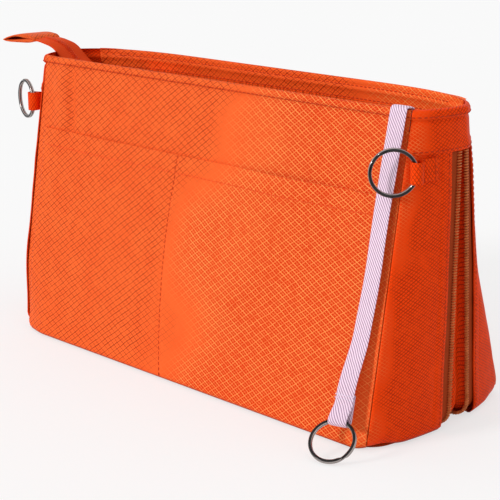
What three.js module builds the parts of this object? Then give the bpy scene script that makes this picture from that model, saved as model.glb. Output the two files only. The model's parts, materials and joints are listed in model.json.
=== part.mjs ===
import * as THREE from 'three';

// Expandable zip-top organizer insert for a handbag, in millimetres, zip open and standing expanded.
// +X runs to its right end, +Y to its rear and +Z up. The origin is the middle of its front base panel.

// Pouch
const bodyLength = 284;          // between the front corner seams
const bodyHeight = 170;
const frontHalfDepth = 58.5;     // front face to fold plane, at the base
const rearHalfDepth = 45.5;      // rear chain to rear face, at the base
const expanderGap = 14;          // between the two expander chains at the base
const wallLean = 29;             // each face leans in by this much from base to rim
const endBulge = 10;
const frontCornerLeg = 7;
const baseCornerLeg = 7;         // rear corners at the base
const rimCornerEndLeg = 30;      // rear corners higher up, along the end
const rimCornerRearLeg = 70;     // rear corners higher up, along the rear
const cornerOpenHeight = 100;    // where the rear corners reach their full sweep
const cornerSeamShare = 0.3;     // share of the rear corner that is cut with the end
const yokeHeight = 22;

// Cloth layers, from outside to inside
const shellCloth = 0.8;
const foamSheet = 1.8;
const liningCloth = 0.6;
const seamGap = 0.3;
const facingHeight = 12;

// Pockets
const frontPocketHeight = 127.5;
const rearPocketHeight = 120;
const innerPocketHeight = 100;
const innerPocketWidth = 190;
const rearInnerPocketWidth = 140;
const innerPocketFoot = 6;

// Expander zip, in a U over both ends and the base
const tapeWidth = 5.5;
const tapeThickness = 0.6;
const tapeRecess = 0.6;
const coilWidth = 1.8;
const coilThickness = 1.6;
const coilRecess = 0.2;
const coilClearance = 0.2;       // coil to the plane that the chain closes on
const turnRadius = 10;           // where the chain turns under the base
const gussetCloth = 0.6;
const gussetRecess = 4.2;
const sliderParkGap = 5;         // expander slider below the yoke
const expanderSliderPlate = 1.2;
const expanderInnerHalf = 2;     // half the width of the slider's inner plate

// Top zip
const topTapeHeight = 11;
const topCoilHeight = 2;
const flapDrop = 22;             // cloth between the facing and the top zip tape
const flapReach = 107;           // half the length of the flaps
const flapMeet = 55;             // the flaps leave the walls this far from the left to meet at the slider
const topClothThickness = 0.5;
const sliderLength = 10;
const sliderWidth = 9;
const sliderPlate = 1.5;
const sliderSlotHalf = 1;        // half the slot between the top slider's plates
const sliderPostHalf = 1;
const pullerLength = 18;
const pullerWidth = 5;
const pullerThickness = 1.2;
const tailWidth = 24;
const tailThickness = 1.2;
const tailTabLength = 40;
const tailTabWidth = 27;
const tailTabThickness = 5;
const tailTabNose = 2.5;         // the tab thins over this length where it meets the tape
const tailTabNoseHalf = 0.2;
const tailOverhang = 14;         // tape beyond the left end
const tailRise = 5;              // tape above the rim

// Rings, tabs and key strap
const ringRadius = 11.4;         // to the middle of the wire
const wireRadius = 1.1;
const ringBelowRim = 29;
const tabWidth = 11;
const tabBore = 2.9;
const tabCloth = 0.8;
const tabTail = 14.5;
const tabStandX = 7;             // ring wire out from the corner seam
const tabStandY = 1.35;          // ring wire behind the front face
const rightRingYaw = THREE.MathUtils.degToRad(-136.4);
const leftRingYaw = THREE.MathUtils.degToRad(164);
const strapWidth = 10.7;
const strapThickness = 1.2;
const strapTopInset = 6.4;       // from the corner seam, at the rim
const strapFootInset = 12.7;     // from the corner seam, at its ring
const strapHinge = 120;          // height below which the strap swings free
const strapTwist = THREE.MathUtils.degToRad(16);
const strapTwistLength = 45;
const strapFoldBack = 14;
const strapSewnFrom = 10.5;      // above the ring, where the fold's two layers meet
const strapBore = 3.7;           // inside radius of the fold that holds the ring
const strapStandOff = 8;         // ring wire out from the front face
const keyRingLean = THREE.MathUtils.degToRad(50);
const floorGap = 0.3;

const halfLength = bodyLength / 2;
const strapTopX = halfLength - strapTopInset;
const strapFootX = halfLength - strapFootInset;
const ringHeight = bodyHeight - ringBelowRim;
const foldY = frontHalfDepth / 2;
const layerDepth = {
  foam: shellCloth + seamGap,
  lining: shellCloth + foamSheet + 2 * seamGap,
  inside: shellCloth + foamSheet + liningCloth + 3 * seamGap,
};
const baseTop = layerDepth.inside;
const yokeFoot = bodyHeight - yokeHeight;
const topMiddleY = (frontY(bodyHeight) + rearY(bodyHeight)) / 2;
const chainEdge = coilClearance + coilWidth + seamGap;
const tapeEdge = chainEdge + tapeWidth + 3 * seamGap;

// Finishes
const finish = (color, roughness, metalness = 0) => () =>
  new THREE.MeshStandardMaterial({ color, roughness, metalness });
const ripstop = finish(0xee5a1e, 0.55);
const liningFinish = finish(0xd9531f, 0.7);
const foamFinish = finish(0xe8e2d8, 0.9);
const boardFinish = finish(0x4a4a4a, 0.8);
const zipTape = finish(0xa84f28, 0.75);
const zipCoil = finish(0x8f3f1e, 0.45);
const metal = finish(0xd4d5d8, 0.18, 1);
const elastic = finish(0xe4d4ea, 0.8);

// Plan of the pouch at height z

function frontY(z) {
  return -frontHalfDepth / 2 + (wallLean * z) / bodyHeight;
}

function rearY(z) {
  return frontHalfDepth / 2 + expanderGap + rearHalfDepth - (wallLean * z) / bodyHeight;
}

function rearChainY(z) {
  return foldY + expanderGap * (1 - z / bodyHeight);
}

function cornerLegs(z) {
  const open = THREE.MathUtils.smoothstep(z, 0, cornerOpenHeight);
  return {
    end: THREE.MathUtils.lerp(baseCornerLeg, rimCornerEndLeg, open),
    rear: THREE.MathUtils.lerp(baseCornerLeg, rimCornerRearLeg, open),
  };
}

function bulgedX(y, z) {
  const share = (y - frontY(z)) / (rearY(z) - frontY(z));
  return halfLength + 4 * endBulge * share * (1 - share);
}

function bend(start, middle, end, t) {
  return (1 - t) ** 2 * start + 2 * t * (1 - t) * middle + t ** 2 * end;
}

// The right end's outline as x for a given y, from the front corner round to the rear face.
function sideX(y, z) {
  const legs = cornerLegs(z);
  const cornerStart = rearY(z) - legs.end;
  if (y <= cornerStart) return bulgedX(y, z);
  const t = 1 - Math.sqrt(Math.max(0, rearY(z) - y) / legs.end);
  return rearCornerPoint(t, z)[0];
}

function rearCornerPoint(t, z) {
  const legs = cornerLegs(z);
  const start = bulgedX(rearY(z) - legs.end, z);
  const y = rearY(z) - legs.end * (1 - t) ** 2;
  return [bend(start, halfLength, halfLength - legs.rear, t), y];
}

function rearSeamY(z) {
  return rearCornerPoint(cornerSeamShare, z)[1] - seamGap;
}

// The rear face's y for a given x, straight in the middle and swept forward at its ends.
function rearFaceY(x, z) {
  const legs = cornerLegs(z);
  const start = bulgedX(rearY(z) - legs.end, z);
  const reach = Math.abs(x);
  if (reach <= halfLength - legs.rear) return rearY(z);
  const square = start - halfLength - legs.rear;
  const slope = bodyLength - 2 * start;
  const t = (-slope - Math.sqrt(slope ** 2 - 4 * square * (start - reach))) / (2 * square);
  return rearY(z) - legs.end * (1 - t) ** 2;
}

// Stretches of the outline, each running anticlockwise as t goes from 0 to 1.
const frontLine = (t, z) => [
  THREE.MathUtils.lerp(-1, 1, t) * (halfLength - frontCornerLeg),
  frontY(z),
];
const frontCorner = (t, z) => [
  bend(halfLength - frontCornerLeg, halfLength, sideX(frontY(z) + frontCornerLeg, z), t),
  frontY(z) + frontCornerLeg * t ** 2,
];
const alongEnd = (from, to) => (t, z) => {
  const y = THREE.MathUtils.lerp(from(z), to(z), t);
  return [sideX(y, z), y];
};
const frontSeamY = (z) => frontY(z) + frontCornerLeg + seamGap;
const endFrontLine = alongEnd(frontSeamY, () => foldY - tapeEdge);
const endRearLine = alongEnd((z) => rearChainY(z) + tapeEdge, rearSeamY);
const yokeLine = alongEnd(frontSeamY, rearSeamY);
const rearLine = (t, z) => [
  THREE.MathUtils.lerp(1, -1, t) * (halfLength - cornerLegs(z).rear),
  rearY(z),
];
const flatFront = (width) => (t, z) => [THREE.MathUtils.lerp(-0.5, 0.5, t) * width, frontY(z)];
const flatRear = (width) => (t, z) => [THREE.MathUtils.lerp(0.5, -0.5, t) * width, rearY(z)];

// Marks along a stretch, on the right side or mirrored to the left.
function marks(stretch, from, to, steps, side = 1) {
  const sense = Math.sign(to - from);
  return Array.from({ length: steps + 1 }, (_, i) => ({
    stretch,
    t: from + ((to - from) * i) / steps,
    sense,
    side,
  }));
}

// A marked point at height z, moved inwards by a depth.
function insetPoint(mark, z, depth) {
  const step = 1e-4;
  const [x0, y0] = mark.stretch(mark.t - step, z);
  const [x1, y1] = mark.stretch(mark.t + step, z);
  const [x, y] = mark.stretch(mark.t, z);
  const along = new THREE.Vector2(mark.side * (x1 - x0), y1 - y0);
  along.multiplyScalar(mark.sense).normalize();
  return new THREE.Vector3(mark.side * x - along.y * depth, y + along.x * depth, z);
}

// A closed solid between two grids of points, its faces turned outwards.
function slab(outer, inner) {
  const rows = outer.length;
  const columns = outer[0].length;
  const at = (side, i, j) => (side * rows + i) * columns + j;
  const index = [];
  const quad = (a, b, c, d) => index.push(a, b, c, a, c, d);
  for (let i = 0; i < rows - 1; i += 1) {
    for (let j = 0; j < columns - 1; j += 1) {
      quad(at(0, i, j), at(0, i, j + 1), at(0, i + 1, j + 1), at(0, i + 1, j));
      quad(at(1, i, j + 1), at(1, i, j), at(1, i + 1, j), at(1, i + 1, j + 1));
    }
    const last = columns - 1;
    quad(at(1, i, 0), at(0, i, 0), at(0, i + 1, 0), at(1, i + 1, 0));
    quad(at(0, i, last), at(1, i, last), at(1, i + 1, last), at(0, i + 1, last));
  }
  for (let j = 0; j < columns - 1; j += 1) {
    const last = rows - 1;
    quad(at(1, 0, j), at(1, 0, j + 1), at(0, 0, j + 1), at(0, 0, j));
    quad(at(0, last, j), at(0, last, j + 1), at(1, last, j + 1), at(1, last, j));
  }
  const points = [...outer.flat(), ...inner.flat()];
  return new THREE.BufferGeometry().setFromPoints(points).setIndex(faceOut(points, index));
}

function faceOut(points, index) {
  let volume = 0;
  for (let i = 0; i < index.length; i += 3) {
    const [a, b, c] = [points[index[i]], points[index[i + 1]], points[index[i + 2]]];
    volume += a.dot(new THREE.Vector3().crossVectors(b, c));
  }
  return volume > 0 ? index : index.reverse();
}

function levels(from, to, steps) {
  return Array.from({ length: steps + 1 }, (_, i) => from + ((to - from) * i) / steps);
}

function wall(path, heights, depth, thickness) {
  const layer = (inset) => heights.map((z) => path.map((mark) => insetPoint(mark, z, inset)));
  return slab(layer(depth), layer(depth + thickness));
}

// Panels

const frontPath = [
  ...marks(frontCorner, 1, 0, 3, -1),
  ...marks(frontLine, 0.2, 0.8, 3),
  ...marks(frontCorner, 0, 1, 3),
];
const rearPath = [
  ...marks(rearCornerPoint, cornerSeamShare, 1, 4),
  ...marks(rearLine, 0.33, 0.67, 1),
  ...marks(rearCornerPoint, 1, cornerSeamShare, 4, -1),
];

// Every curved wall is cut at the same heights, so that neighbours and layers keep their gaps.
const innerFoot = baseTop + seamGap;
const facingFoot = bodyHeight - facingHeight;
const innerTop = facingFoot - seamGap;
const wallLevels = [
  0,
  ...levels(innerFoot, yokeFoot - seamGap, 8),
  rearPocketHeight,
  yokeFoot,
  innerTop,
  facingFoot,
  bodyHeight,
].sort((a, b) => a - b);
const between = (from, to) => wallLevels.filter((z) => z >= from && z <= to);
const innerLevels = between(innerFoot, innerTop);
const facingLevels = between(facingFoot, bodyHeight);
const lowerEndLevels = between(0, yokeFoot - seamGap);
const yokeLevels = between(yokeFoot, bodyHeight);
const pocketLevels = levels(innerPocketFoot, innerPocketHeight, 2);

function pouchPanels() {
  const innerFront = marks(frontLine, 0, 1, 4);
  const innerRear = rearPath.slice(1, -1);
  const frontPocket = levels(seamGap, frontPocketHeight, 4);
  const rearPocket = between(innerFoot, rearPocketHeight);
  const pocketDepth = -seamGap - shellCloth;
  return [
    ['front_panel', wall(frontPath, wallLevels, 0, shellCloth), ripstop],
    ['front_slip_pocket', wall(frontPath, frontPocket, pocketDepth, shellCloth), ripstop],
    ['front_stiffener', wall(innerFront, innerLevels, layerDepth.foam, foamSheet), foamFinish],
    ['front_lining', wall(innerFront, innerLevels, layerDepth.lining, liningCloth), liningFinish],
    ['front_facing', wall(innerFront, facingLevels, layerDepth.lining, liningCloth), ripstop],
    ['front_inner_pocket', innerPocket(flatFront(innerPocketWidth)), liningFinish],
    ['rear_panel', wall(rearPath, wallLevels, 0, shellCloth), ripstop],
    ['rear_slip_pocket', wall(innerRear, rearPocket, pocketDepth, shellCloth), ripstop],
    ['rear_stiffener', wall(innerRear, innerLevels, layerDepth.foam, foamSheet), foamFinish],
    ['rear_lining', wall(innerRear, innerLevels, layerDepth.lining, liningCloth), liningFinish],
    ['rear_facing', wall(innerRear, facingLevels, layerDepth.lining, liningCloth), ripstop],
    ['rear_inner_pocket', innerPocket(flatRear(rearInnerPocketWidth)), liningFinish],
  ];
}

function innerPocket(stretch) {
  return wall(marks(stretch, 0, 1, 2), pocketLevels, layerDepth.inside, liningCloth);
}

function endPanels() {
  const oriented = (stretch, steps, side) =>
    side > 0 ? marks(stretch, 0, 1, steps) : marks(stretch, 1, 0, steps, -1);
  return [['right', 1], ['left', -1]].flatMap(([name, side]) => [
    [`${name}_end_front`, wall(oriented(endFrontLine, 4, side), lowerEndLevels, 0, shellCloth), ripstop],
    [`${name}_end_rear`, wall(oriented(endRearLine, 4, side), lowerEndLevels, 0, shellCloth), ripstop],
    [`${name}_yoke`, wall(oriented(yokeLine, 8, side), yokeLevels, 0, shellCloth), ripstop],
  ]);
}

// Each half's base: cloth, board and lining, one on the other.
function baseLayers() {
  const endInset = shellCloth + 2 * seamGap;
  const fullWidth = (y) => sideX(y, 0) - endInset;
  const cornerRoom = frontCornerLeg / 3;
  const front = [
    [frontY(0) + layerDepth.inside, halfLength - cornerRoom],
    ...levels(frontSeamY(0), foldY - tapeEdge, 3).map((y) => [y, fullWidth(y)]),
  ];
  const rearStop = rearY(0) - layerDepth.inside;
  const rear = [
    ...levels(rearChainY(0) + tapeEdge, rearSeamY(0) - baseCornerLeg, 3).map((y) => [y, fullWidth(y)]),
    [rearStop, halfLength - baseCornerLeg],
  ];
  const plate = (outline, z, thickness) => {
    const layer = (height) =>
      outline.map(([y, x]) => [new THREE.Vector3(-x, y, height), new THREE.Vector3(x, y, height)]);
    return slab(layer(z), layer(z + thickness));
  };
  return [['front', front], ['rear', rear]].flatMap(([half, outline]) => [
    [`base_${half}_panel`, plate(outline, 0, shellCloth), ripstop],
    [`base_${half}_board`, plate(outline, layerDepth.foam, foamSheet), boardFinish],
    [`base_${half}_lining`, plate(outline, layerDepth.lining, liningCloth), liningFinish],
  ]);
}

// Expander zip and gusset

function wrapStations() {
  const leg = levels(yokeFoot - 2 * seamGap, turnRadius, 6).map((z) => ({ z, turn: 0 }));
  const turn = levels(0, Math.PI / 2, 3).slice(1);
  const corner = turn.map((angle) => ({ z: turnRadius * (1 - Math.sin(angle)), turn: angle }));
  const down = [...leg, ...corner];
  return [
    ...down.map((station) => ({ ...station, side: -1 })),
    ...down.reverse().map((station) => ({ ...station, side: 1 })),
  ];
}

function wrapPoint({ z, turn, side }, y, depth) {
  if (turn === 0) return new THREE.Vector3(side * (sideX(y, z) - depth), y, z);
  const middle = sideX(y, turnRadius) - turnRadius;
  const radius = turnRadius - depth;
  const x = side * (middle + radius * Math.cos(turn));
  return new THREE.Vector3(x, y, turnRadius - radius * Math.sin(turn));
}

// A strip that runs down one end, under the base and up the other, from columns of y and depth.
function wrappedStrip(columns, thickness) {
  const layer = (extra) =>
    wrapStations().map((station) =>
      columns.map(({ y, depth }) => wrapPoint(station, y(station.z), depth + extra)));
  return slab(layer(0), layer(thickness));
}

function expanderZip() {
  const frontAt = (offset) => () => foldY - offset;
  const rearAt = (offset) => (z) => rearChainY(z) + offset;
  const strip = (place, from, to, depth, thickness) =>
    wrappedStrip([{ y: place(from), depth }, { y: place(to), depth }], thickness);
  const tape = (place) => strip(place, chainEdge + tapeWidth, chainEdge, tapeRecess, tapeThickness);
  const coil = (place) =>
    strip(place, coilClearance + coilWidth, coilClearance, coilRecess, coilThickness);
  const flangeDepth = tapeRecess + tapeThickness + seamGap;
  const flank = (place) => [
    { y: place(chainEdge + tapeWidth), depth: flangeDepth },
    { y: place(chainEdge + coilWidth / 2), depth: flangeDepth },
    { y: place(coilWidth), depth: gussetRecess },
  ];
  const gusset = [...flank(frontAt), ...flank(rearAt).reverse()];
  return [
    ['front_expander_tape', tape(frontAt), zipTape],
    ['front_expander_coil', coil(frontAt), zipCoil],
    ['rear_expander_tape', tape(rearAt), zipTape],
    ['rear_expander_coil', coil(rearAt), zipCoil],
    ['expander_gusset', wrappedStrip(gusset, gussetCloth), ripstop],
  ];
}

// A slider of two plates joined by a post, as an outline in (out, across).
function sliderOutline(outer, inner, plate, half, innerHalf, postHalf) {
  const upper = [[outer + plate, -half], [outer + plate, half], [outer, half], [outer, postHalf]];
  const lower = [
    [inner, postHalf], [inner, innerHalf], [inner - plate, innerHalf],
    [inner - plate, -innerHalf], [inner, -innerHalf], [inner, -postHalf],
  ];
  const back = [[outer, -postHalf], [outer, -half]];
  return [...upper, ...lower, ...back];
}

function extruded(points, depth, hole = null) {
  const shape = new THREE.Shape(points.map(([x, y]) => new THREE.Vector2(x, y)));
  if (hole) shape.holes.push(new THREE.Path(hole.map(([x, y]) => new THREE.Vector2(x, y))));
  return new THREE.ExtrudeGeometry(shape, { depth, bevelEnabled: false });
}

function pullerPlate() {
  const half = pullerWidth / 2;
  const round = arc(0, -pullerLength + half, half, 0, -Math.PI, 8);
  const plate = extruded([[-half, 0], ...round.reverse(), [half, 0]], pullerThickness);
  return plate.translate(0, 0, -pullerThickness / 2);
}

function arc(x, y, radius, from, to, steps) {
  return levels(from, to, steps).map((a) => [x + radius * Math.cos(a), y + radius * Math.sin(a)]);
}

const expanderSliderTop = yokeFoot - sliderParkGap;
const expanderSliderFoot = expanderSliderTop - sliderLength;
const expanderPostY = (foldY + rearChainY(expanderSliderTop)) / 2;
const expanderPlateX = sideX(foldY, expanderSliderTop) - coilRecess + seamGap;

function expanderSlider() {
  const inner = expanderPlateX - coilThickness - 2 * seamGap;
  const half = sliderWidth / 2;
  const outline = sliderOutline(
    expanderPlateX, inner, expanderSliderPlate, half, expanderInnerHalf, sliderPostHalf);
  const flipped = outline.map(([out, across]) => [-out, expanderPostY + across]);
  const body = extruded(flipped, sliderLength);
  body.translate(0, 0, expanderSliderFoot);
  const puller = pullerPlate();
  puller.rotateX(Math.PI / 2);
  puller.rotateZ(Math.PI / 2);
  const pullerX = expanderPlateX + expanderSliderPlate + seamGap + pullerThickness / 2;
  puller.translate(-pullerX, expanderPostY, expanderSliderTop);
  return [
    ['expander_slider', body, metal],
    ['expander_puller', puller, metal],
  ];
}

// Top zip: flaps that hang inside the mouth and meet at the slider by the left end

const flapTop = innerTop;
const tapeTop = flapTop - flapDrop;
const sliderRight = -flapReach - pullerThickness - 3 * seamGap;
const sliderMiddleZ = flapTop;

function wallFaceY(half, x, z, depth) {
  return half < 0 ? frontY(z) + depth : rearFaceY(x, z) - depth;
}

// The top edge of the tape: at the slider on the left, drawn back to the wall further along.
function tapeLine(half, x) {
  const apart = THREE.MathUtils.smoothstep(x, -flapReach, -flapReach + flapMeet);
  const z = THREE.MathUtils.lerp(flapTop - seamGap, tapeTop, apart);
  const wallY = wallFaceY(half, x, tapeTop, layerDepth.inside + 3 * topClothThickness);
  const middleY = topMiddleY + half * coilWidth;
  return new THREE.Vector3(x, THREE.MathUtils.lerp(middleY, wallY, apart), z);
}

function topZipSide(name, half) {
  const stations = levels(-flapReach, flapReach, 14);
  const lift = new THREE.Vector3(0, -half * topClothThickness, topClothThickness);
  const sheet = (upper, lower, thickness) => {
    const rows = [stations.map(upper), stations.map(lower)];
    return slab(rows, rows.map((row) => row.map((point) => point.clone().add(thickness))));
  };
  const sewn = (x) =>
    new THREE.Vector3(x, wallFaceY(half, x, flapTop, layerDepth.inside), flapTop);
  const below = (drop) => (x) => tapeLine(half, x).add(new THREE.Vector3(0, 0, -drop));
  const across = new THREE.Vector3(0, -half * topClothThickness, 0);
  const coilAcross = new THREE.Vector3(0, -half * coilWidth / 2, 0);
  const coilTop = topTapeHeight + 2 * seamGap;
  return [
    [`${name}_zip_flap`, sheet(sewn, below(0), lift), ripstop],
    [`${name}_top_tape`, sheet(below(seamGap), below(topTapeHeight), across), zipTape],
    [`${name}_top_coil`, sheet(below(coilTop), below(coilTop + topCoilHeight), coilAcross), zipCoil],
  ];
}

function topSlider() {
  const half = sliderWidth / 2;
  const upper = sliderMiddleZ + sliderSlotHalf;
  const lower = sliderMiddleZ - sliderSlotHalf;
  const outline = sliderOutline(upper, lower, sliderPlate, half, half, sliderPostHalf);
  const body = extruded(outline.map(([up, across]) => [across, up]), sliderLength);
  body.rotateX(Math.PI / 2);
  body.rotateZ(Math.PI / 2);
  body.translate(sliderRight - sliderLength, topMiddleY, 0);
  const puller = pullerPlate();
  puller.rotateX(Math.PI / 2);
  puller.rotateZ(Math.PI / 2);
  const pullerX = sliderRight + seamGap + pullerThickness / 2;
  puller.translate(pullerX, topMiddleY, sliderMiddleZ + pullerThickness);
  return [
    ['top_slider', body, metal],
    ['top_puller', puller, metal],
  ];
}

// The joined tail of the top zip climbs out over the left rim and ends in a folded tab.
const tailEndX = -bulgedX(foldY, bodyHeight) - tailOverhang;

function zipTail() {
  const crest = bodyHeight + tailRise;
  const start = new THREE.Vector3(sliderRight - sliderLength - seamGap, topMiddleY, sliderMiddleZ);
  const climb = new THREE.CatmullRomCurve3([
    start,
    new THREE.Vector3(THREE.MathUtils.lerp(start.x, tailEndX, 0.35), topMiddleY, bodyHeight),
    new THREE.Vector3(THREE.MathUtils.lerp(start.x, tailEndX, 0.65), topMiddleY, crest),
    new THREE.Vector3(tailEndX, topMiddleY, crest + tailThickness),
  ]);
  const rows = (shift) =>
    climb.getPoints(10).map((point) => [-1, 1].map((side) =>
      new THREE.Vector3(point.x, point.y + (side * tailWidth) / 2, point.z + shift)));
  const tabZ = crest + tailThickness;
  const half = tailTabThickness / 2;
  const tabStart = tailEndX - seamGap;
  const profile = [
    [tabStart - tailTabNose, tabZ - half * 0.7],
    [tabStart, tabZ - tailTabNoseHalf], [tabStart, tabZ + tailTabNoseHalf],
    [tabStart - tailTabNose, tabZ + half * 0.7],
    [tabStart - tailTabLength * 0.3, tabZ + half], [tabStart - tailTabLength * 0.7, tabZ + half * 0.4],
    [tabStart - tailTabLength, tabZ - half], [tabStart - tailTabLength * 0.7, tabZ - half * 1.3],
    [tabStart - tailTabLength * 0.3, tabZ - half],
  ];
  const tab = extruded(profile, tailTabWidth);
  tab.rotateX(Math.PI / 2);
  tab.translate(0, topMiddleY + tailTabWidth / 2, 0);
  return [
    ['zip_tail_tape', slab(rows(-tailThickness / 2), rows(tailThickness / 2)), zipTape],
    ['zip_tail_tab', tab, ripstop],
  ];
}

// Rings in cloth tabs at the two front corners

function ringTab() {
  const outer = tabBore + tabCloth;
  const wireX = halfLength + tabStandX;
  const wireY = frontY(ringHeight) + tabStandY;
  const lowest = ringHeight - tabWidth / 2;
  const onEnd = (along) => sideX(wireY + along, lowest) - wireX + seamGap;
  const stretch = levels(outer, tabTail, 3);
  const inside = stretch.map((along) => [onEnd(along), along]);
  const outside = stretch.map((along) => [onEnd(along) + 2 * tabCloth, along]).reverse();
  const loop = arc(0, 0, outer, Math.PI / 3, -Math.PI * 1.25, 18);
  return { points: [...outside, ...loop, ...inside], hole: arc(0, 0, tabBore, 0, 2 * Math.PI, 18).slice(1) };
}

function ringCorner(name, side, yaw) {
  const corner = new THREE.Group();
  corner.position.set(side * (halfLength + tabStandX), frontY(ringHeight) + tabStandY, ringHeight);
  const { points, hole } = ringTab();
  const mirror = ([x, y]) => [side * x, y];
  const tab = extruded(points.map(mirror), tabWidth, hole.map(mirror));
  tab.translate(0, 0, -tabWidth / 2);
  corner.add(named(`${name}_ring_tab`, tab, ripstop));
  const ring = named(`${name}_ring`, new THREE.TorusGeometry(ringRadius, wireRadius, 8, 28), metal);
  const reach = new THREE.Vector3(Math.cos(yaw), Math.sin(yaw), 0);
  const up = new THREE.Vector3(0, 0, 1);
  const basis = new THREE.Matrix4().makeBasis(reach, up, new THREE.Vector3().crossVectors(reach, up));
  ring.quaternion.setFromRotationMatrix(basis);
  ring.position.copy(reach).multiplyScalar(ringRadius);
  corner.add(ring);
  return corner;
}

// Elastic key strap: sewn inside the rim, laid over it and down the front, and folded round its ring

const lean = Math.atan2(wallLean, bodyHeight);
const upFace = new THREE.Vector3(0, Math.sin(lean), Math.cos(lean));
const outFace = new THREE.Vector3(0, -Math.cos(lean), Math.sin(lean));
const ringDrop = 2 * ringRadius * Math.cos(keyRingLean) + wireRadius;
const keyWireZ = floorGap + ringDrop - strapStandOff * outFace.z;   // on the face, behind the wire
const strapRest = shellCloth + 2 * seamGap + strapThickness / 2;

function strapX(z) {
  return THREE.MathUtils.mapLinear(z, keyWireZ, bodyHeight, strapFootX, strapTopX);
}

// A ribbon through stations of height along the face, distance from it and turn of its own width.
function ribbon(stations) {
  const rows = stations.map(({ rise, out, turn }, i) => {
    const z = keyWireZ + rise * upFace.z;
    const middle = new THREE.Vector3(strapX(z), frontY(keyWireZ), keyWireZ)
      .addScaledVector(upFace, rise)
      .addScaledVector(outFace, out);
    const before = stations[Math.max(i - 1, 0)];
    const after = stations[Math.min(i + 1, stations.length - 1)];
    const along = new THREE.Vector2(after.rise - before.rise, after.out - before.out).normalize();
    const thick = new THREE.Vector3()
      .addScaledVector(upFace, -along.y)
      .addScaledVector(outFace, along.x)
      .multiplyScalar(strapThickness / 2);
    const across = new THREE.Vector3(Math.cos(turn), Math.sin(turn), 0).multiplyScalar(strapWidth / 2);
    return [1, -1].map((face) => [-1, 1].map((side) =>
      middle.clone().addScaledVector(thick, face).addScaledVector(across, side)));
  });
  return slab(rows.map((row) => row[0]), rows.map((row) => row[1]));
}

function keyStrap() {
  const wrap = strapBore + strapThickness / 2;
  const behind = strapStandOff - wrap;
  const twistAt = (rise) => strapTwist * Math.max(0, 1 - rise / strapTwistLength);
  const station = (rise, out) => ({ rise, out, turn: twistAt(rise) });
  const hingeRise = (strapHinge - keyWireZ) / upFace.z;
  const front = behind + strapThickness + seamGap;
  const round = levels(Math.PI, 2 * Math.PI, 6).map((angle) =>
    station(wrap * Math.sin(angle), strapStandOff + wrap * Math.cos(angle)));
  const settle = levels(strapFoldBack, strapTwistLength, 4).map((rise) => {
    const share = THREE.MathUtils.smoothstep(rise, strapFoldBack, strapTwistLength);
    return station(rise, THREE.MathUtils.lerp(front, strapRest, share));
  });
  return ribbon([
    station(strapFoldBack, behind),
    ...round,
    station(strapSewnFrom, front),
    ...settle,
    station(hingeRise - seamGap, strapRest),
  ]);
}

function keyStrapRoot() {
  const rimRise = (bodyHeight - keyWireZ) / upFace.z;
  const hingeRise = (strapHinge - keyWireZ) / upFace.z;
  const inside = -(layerDepth.inside + strapThickness / 2) * upFace.z;
  const over = rimRise + seamGap + strapThickness;
  const flat = (rise, out) => ({ rise, out, turn: 0 });
  return ribbon([
    flat(hingeRise + seamGap, strapRest),
    flat(over, strapRest),
    flat(over, inside),
    flat(rimRise - facingHeight, inside),
  ]);
}

function keyRing() {
  const across = new THREE.Vector3(Math.cos(strapTwist), Math.sin(strapTwist), 0);
  const outward = new THREE.Vector3(Math.sin(strapTwist), -Math.cos(strapTwist), 0);
  const down = outward.clone().multiplyScalar(Math.sin(keyRingLean));
  down.z = -Math.cos(keyRingLean);
  const up = down.clone().negate();
  const ring = named('key_ring', new THREE.TorusGeometry(ringRadius, wireRadius, 8, 28), metal);
  const basis = new THREE.Matrix4().makeBasis(across, up, new THREE.Vector3().crossVectors(across, up));
  ring.quaternion.setFromRotationMatrix(basis);
  ring.position.set(strapX(keyWireZ), frontY(keyWireZ), keyWireZ);
  ring.position.addScaledVector(outFace, strapStandOff).addScaledVector(down, ringRadius);
  return ring;
}

// Assembly

function named(name, geometry, material) {
  const mesh = new THREE.Mesh(geometry, material());
  mesh.name = name;
  return mesh;
}

const insert = new THREE.Group();
const pieces = [
  ...pouchPanels(),
  ...endPanels(),
  ...baseLayers(),
  ...expanderZip(),
  ...expanderSlider(),
  ...topZipSide('front', -1),
  ...topZipSide('rear', 1),
  ...topSlider(),
  ...zipTail(),
  ['key_strap', keyStrap(), elastic],
  ['key_strap_root', keyStrapRoot(), elastic],
];
for (const [name, geometry, material] of pieces) {
  insert.add(named(name, geometry, material));
}
insert.add(ringCorner('right', 1, rightRingYaw));
insert.add(ringCorner('left', -1, leftRingYaw));
insert.add(keyRing());

export default insert;
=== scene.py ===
import json
import math

import bpy
import numpy as np
from mathutils import Matrix, Vector, noise


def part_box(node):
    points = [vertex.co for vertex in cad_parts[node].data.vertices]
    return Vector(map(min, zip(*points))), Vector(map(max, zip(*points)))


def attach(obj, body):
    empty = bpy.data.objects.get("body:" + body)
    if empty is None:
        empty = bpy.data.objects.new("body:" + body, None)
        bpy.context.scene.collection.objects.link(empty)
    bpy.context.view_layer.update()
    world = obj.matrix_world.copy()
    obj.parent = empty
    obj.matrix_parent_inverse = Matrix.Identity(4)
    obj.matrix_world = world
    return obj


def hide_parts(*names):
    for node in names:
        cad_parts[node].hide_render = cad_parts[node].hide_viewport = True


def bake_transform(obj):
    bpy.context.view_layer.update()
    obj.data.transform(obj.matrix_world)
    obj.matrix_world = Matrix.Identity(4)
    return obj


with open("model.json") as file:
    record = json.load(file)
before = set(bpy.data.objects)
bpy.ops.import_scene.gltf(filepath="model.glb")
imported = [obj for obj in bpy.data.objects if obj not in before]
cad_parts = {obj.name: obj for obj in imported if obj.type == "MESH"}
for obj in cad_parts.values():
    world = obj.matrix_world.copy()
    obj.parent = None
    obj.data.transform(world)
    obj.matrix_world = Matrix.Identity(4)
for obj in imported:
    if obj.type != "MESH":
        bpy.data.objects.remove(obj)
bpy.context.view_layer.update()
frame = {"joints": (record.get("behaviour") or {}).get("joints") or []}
mm = 0.001


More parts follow.
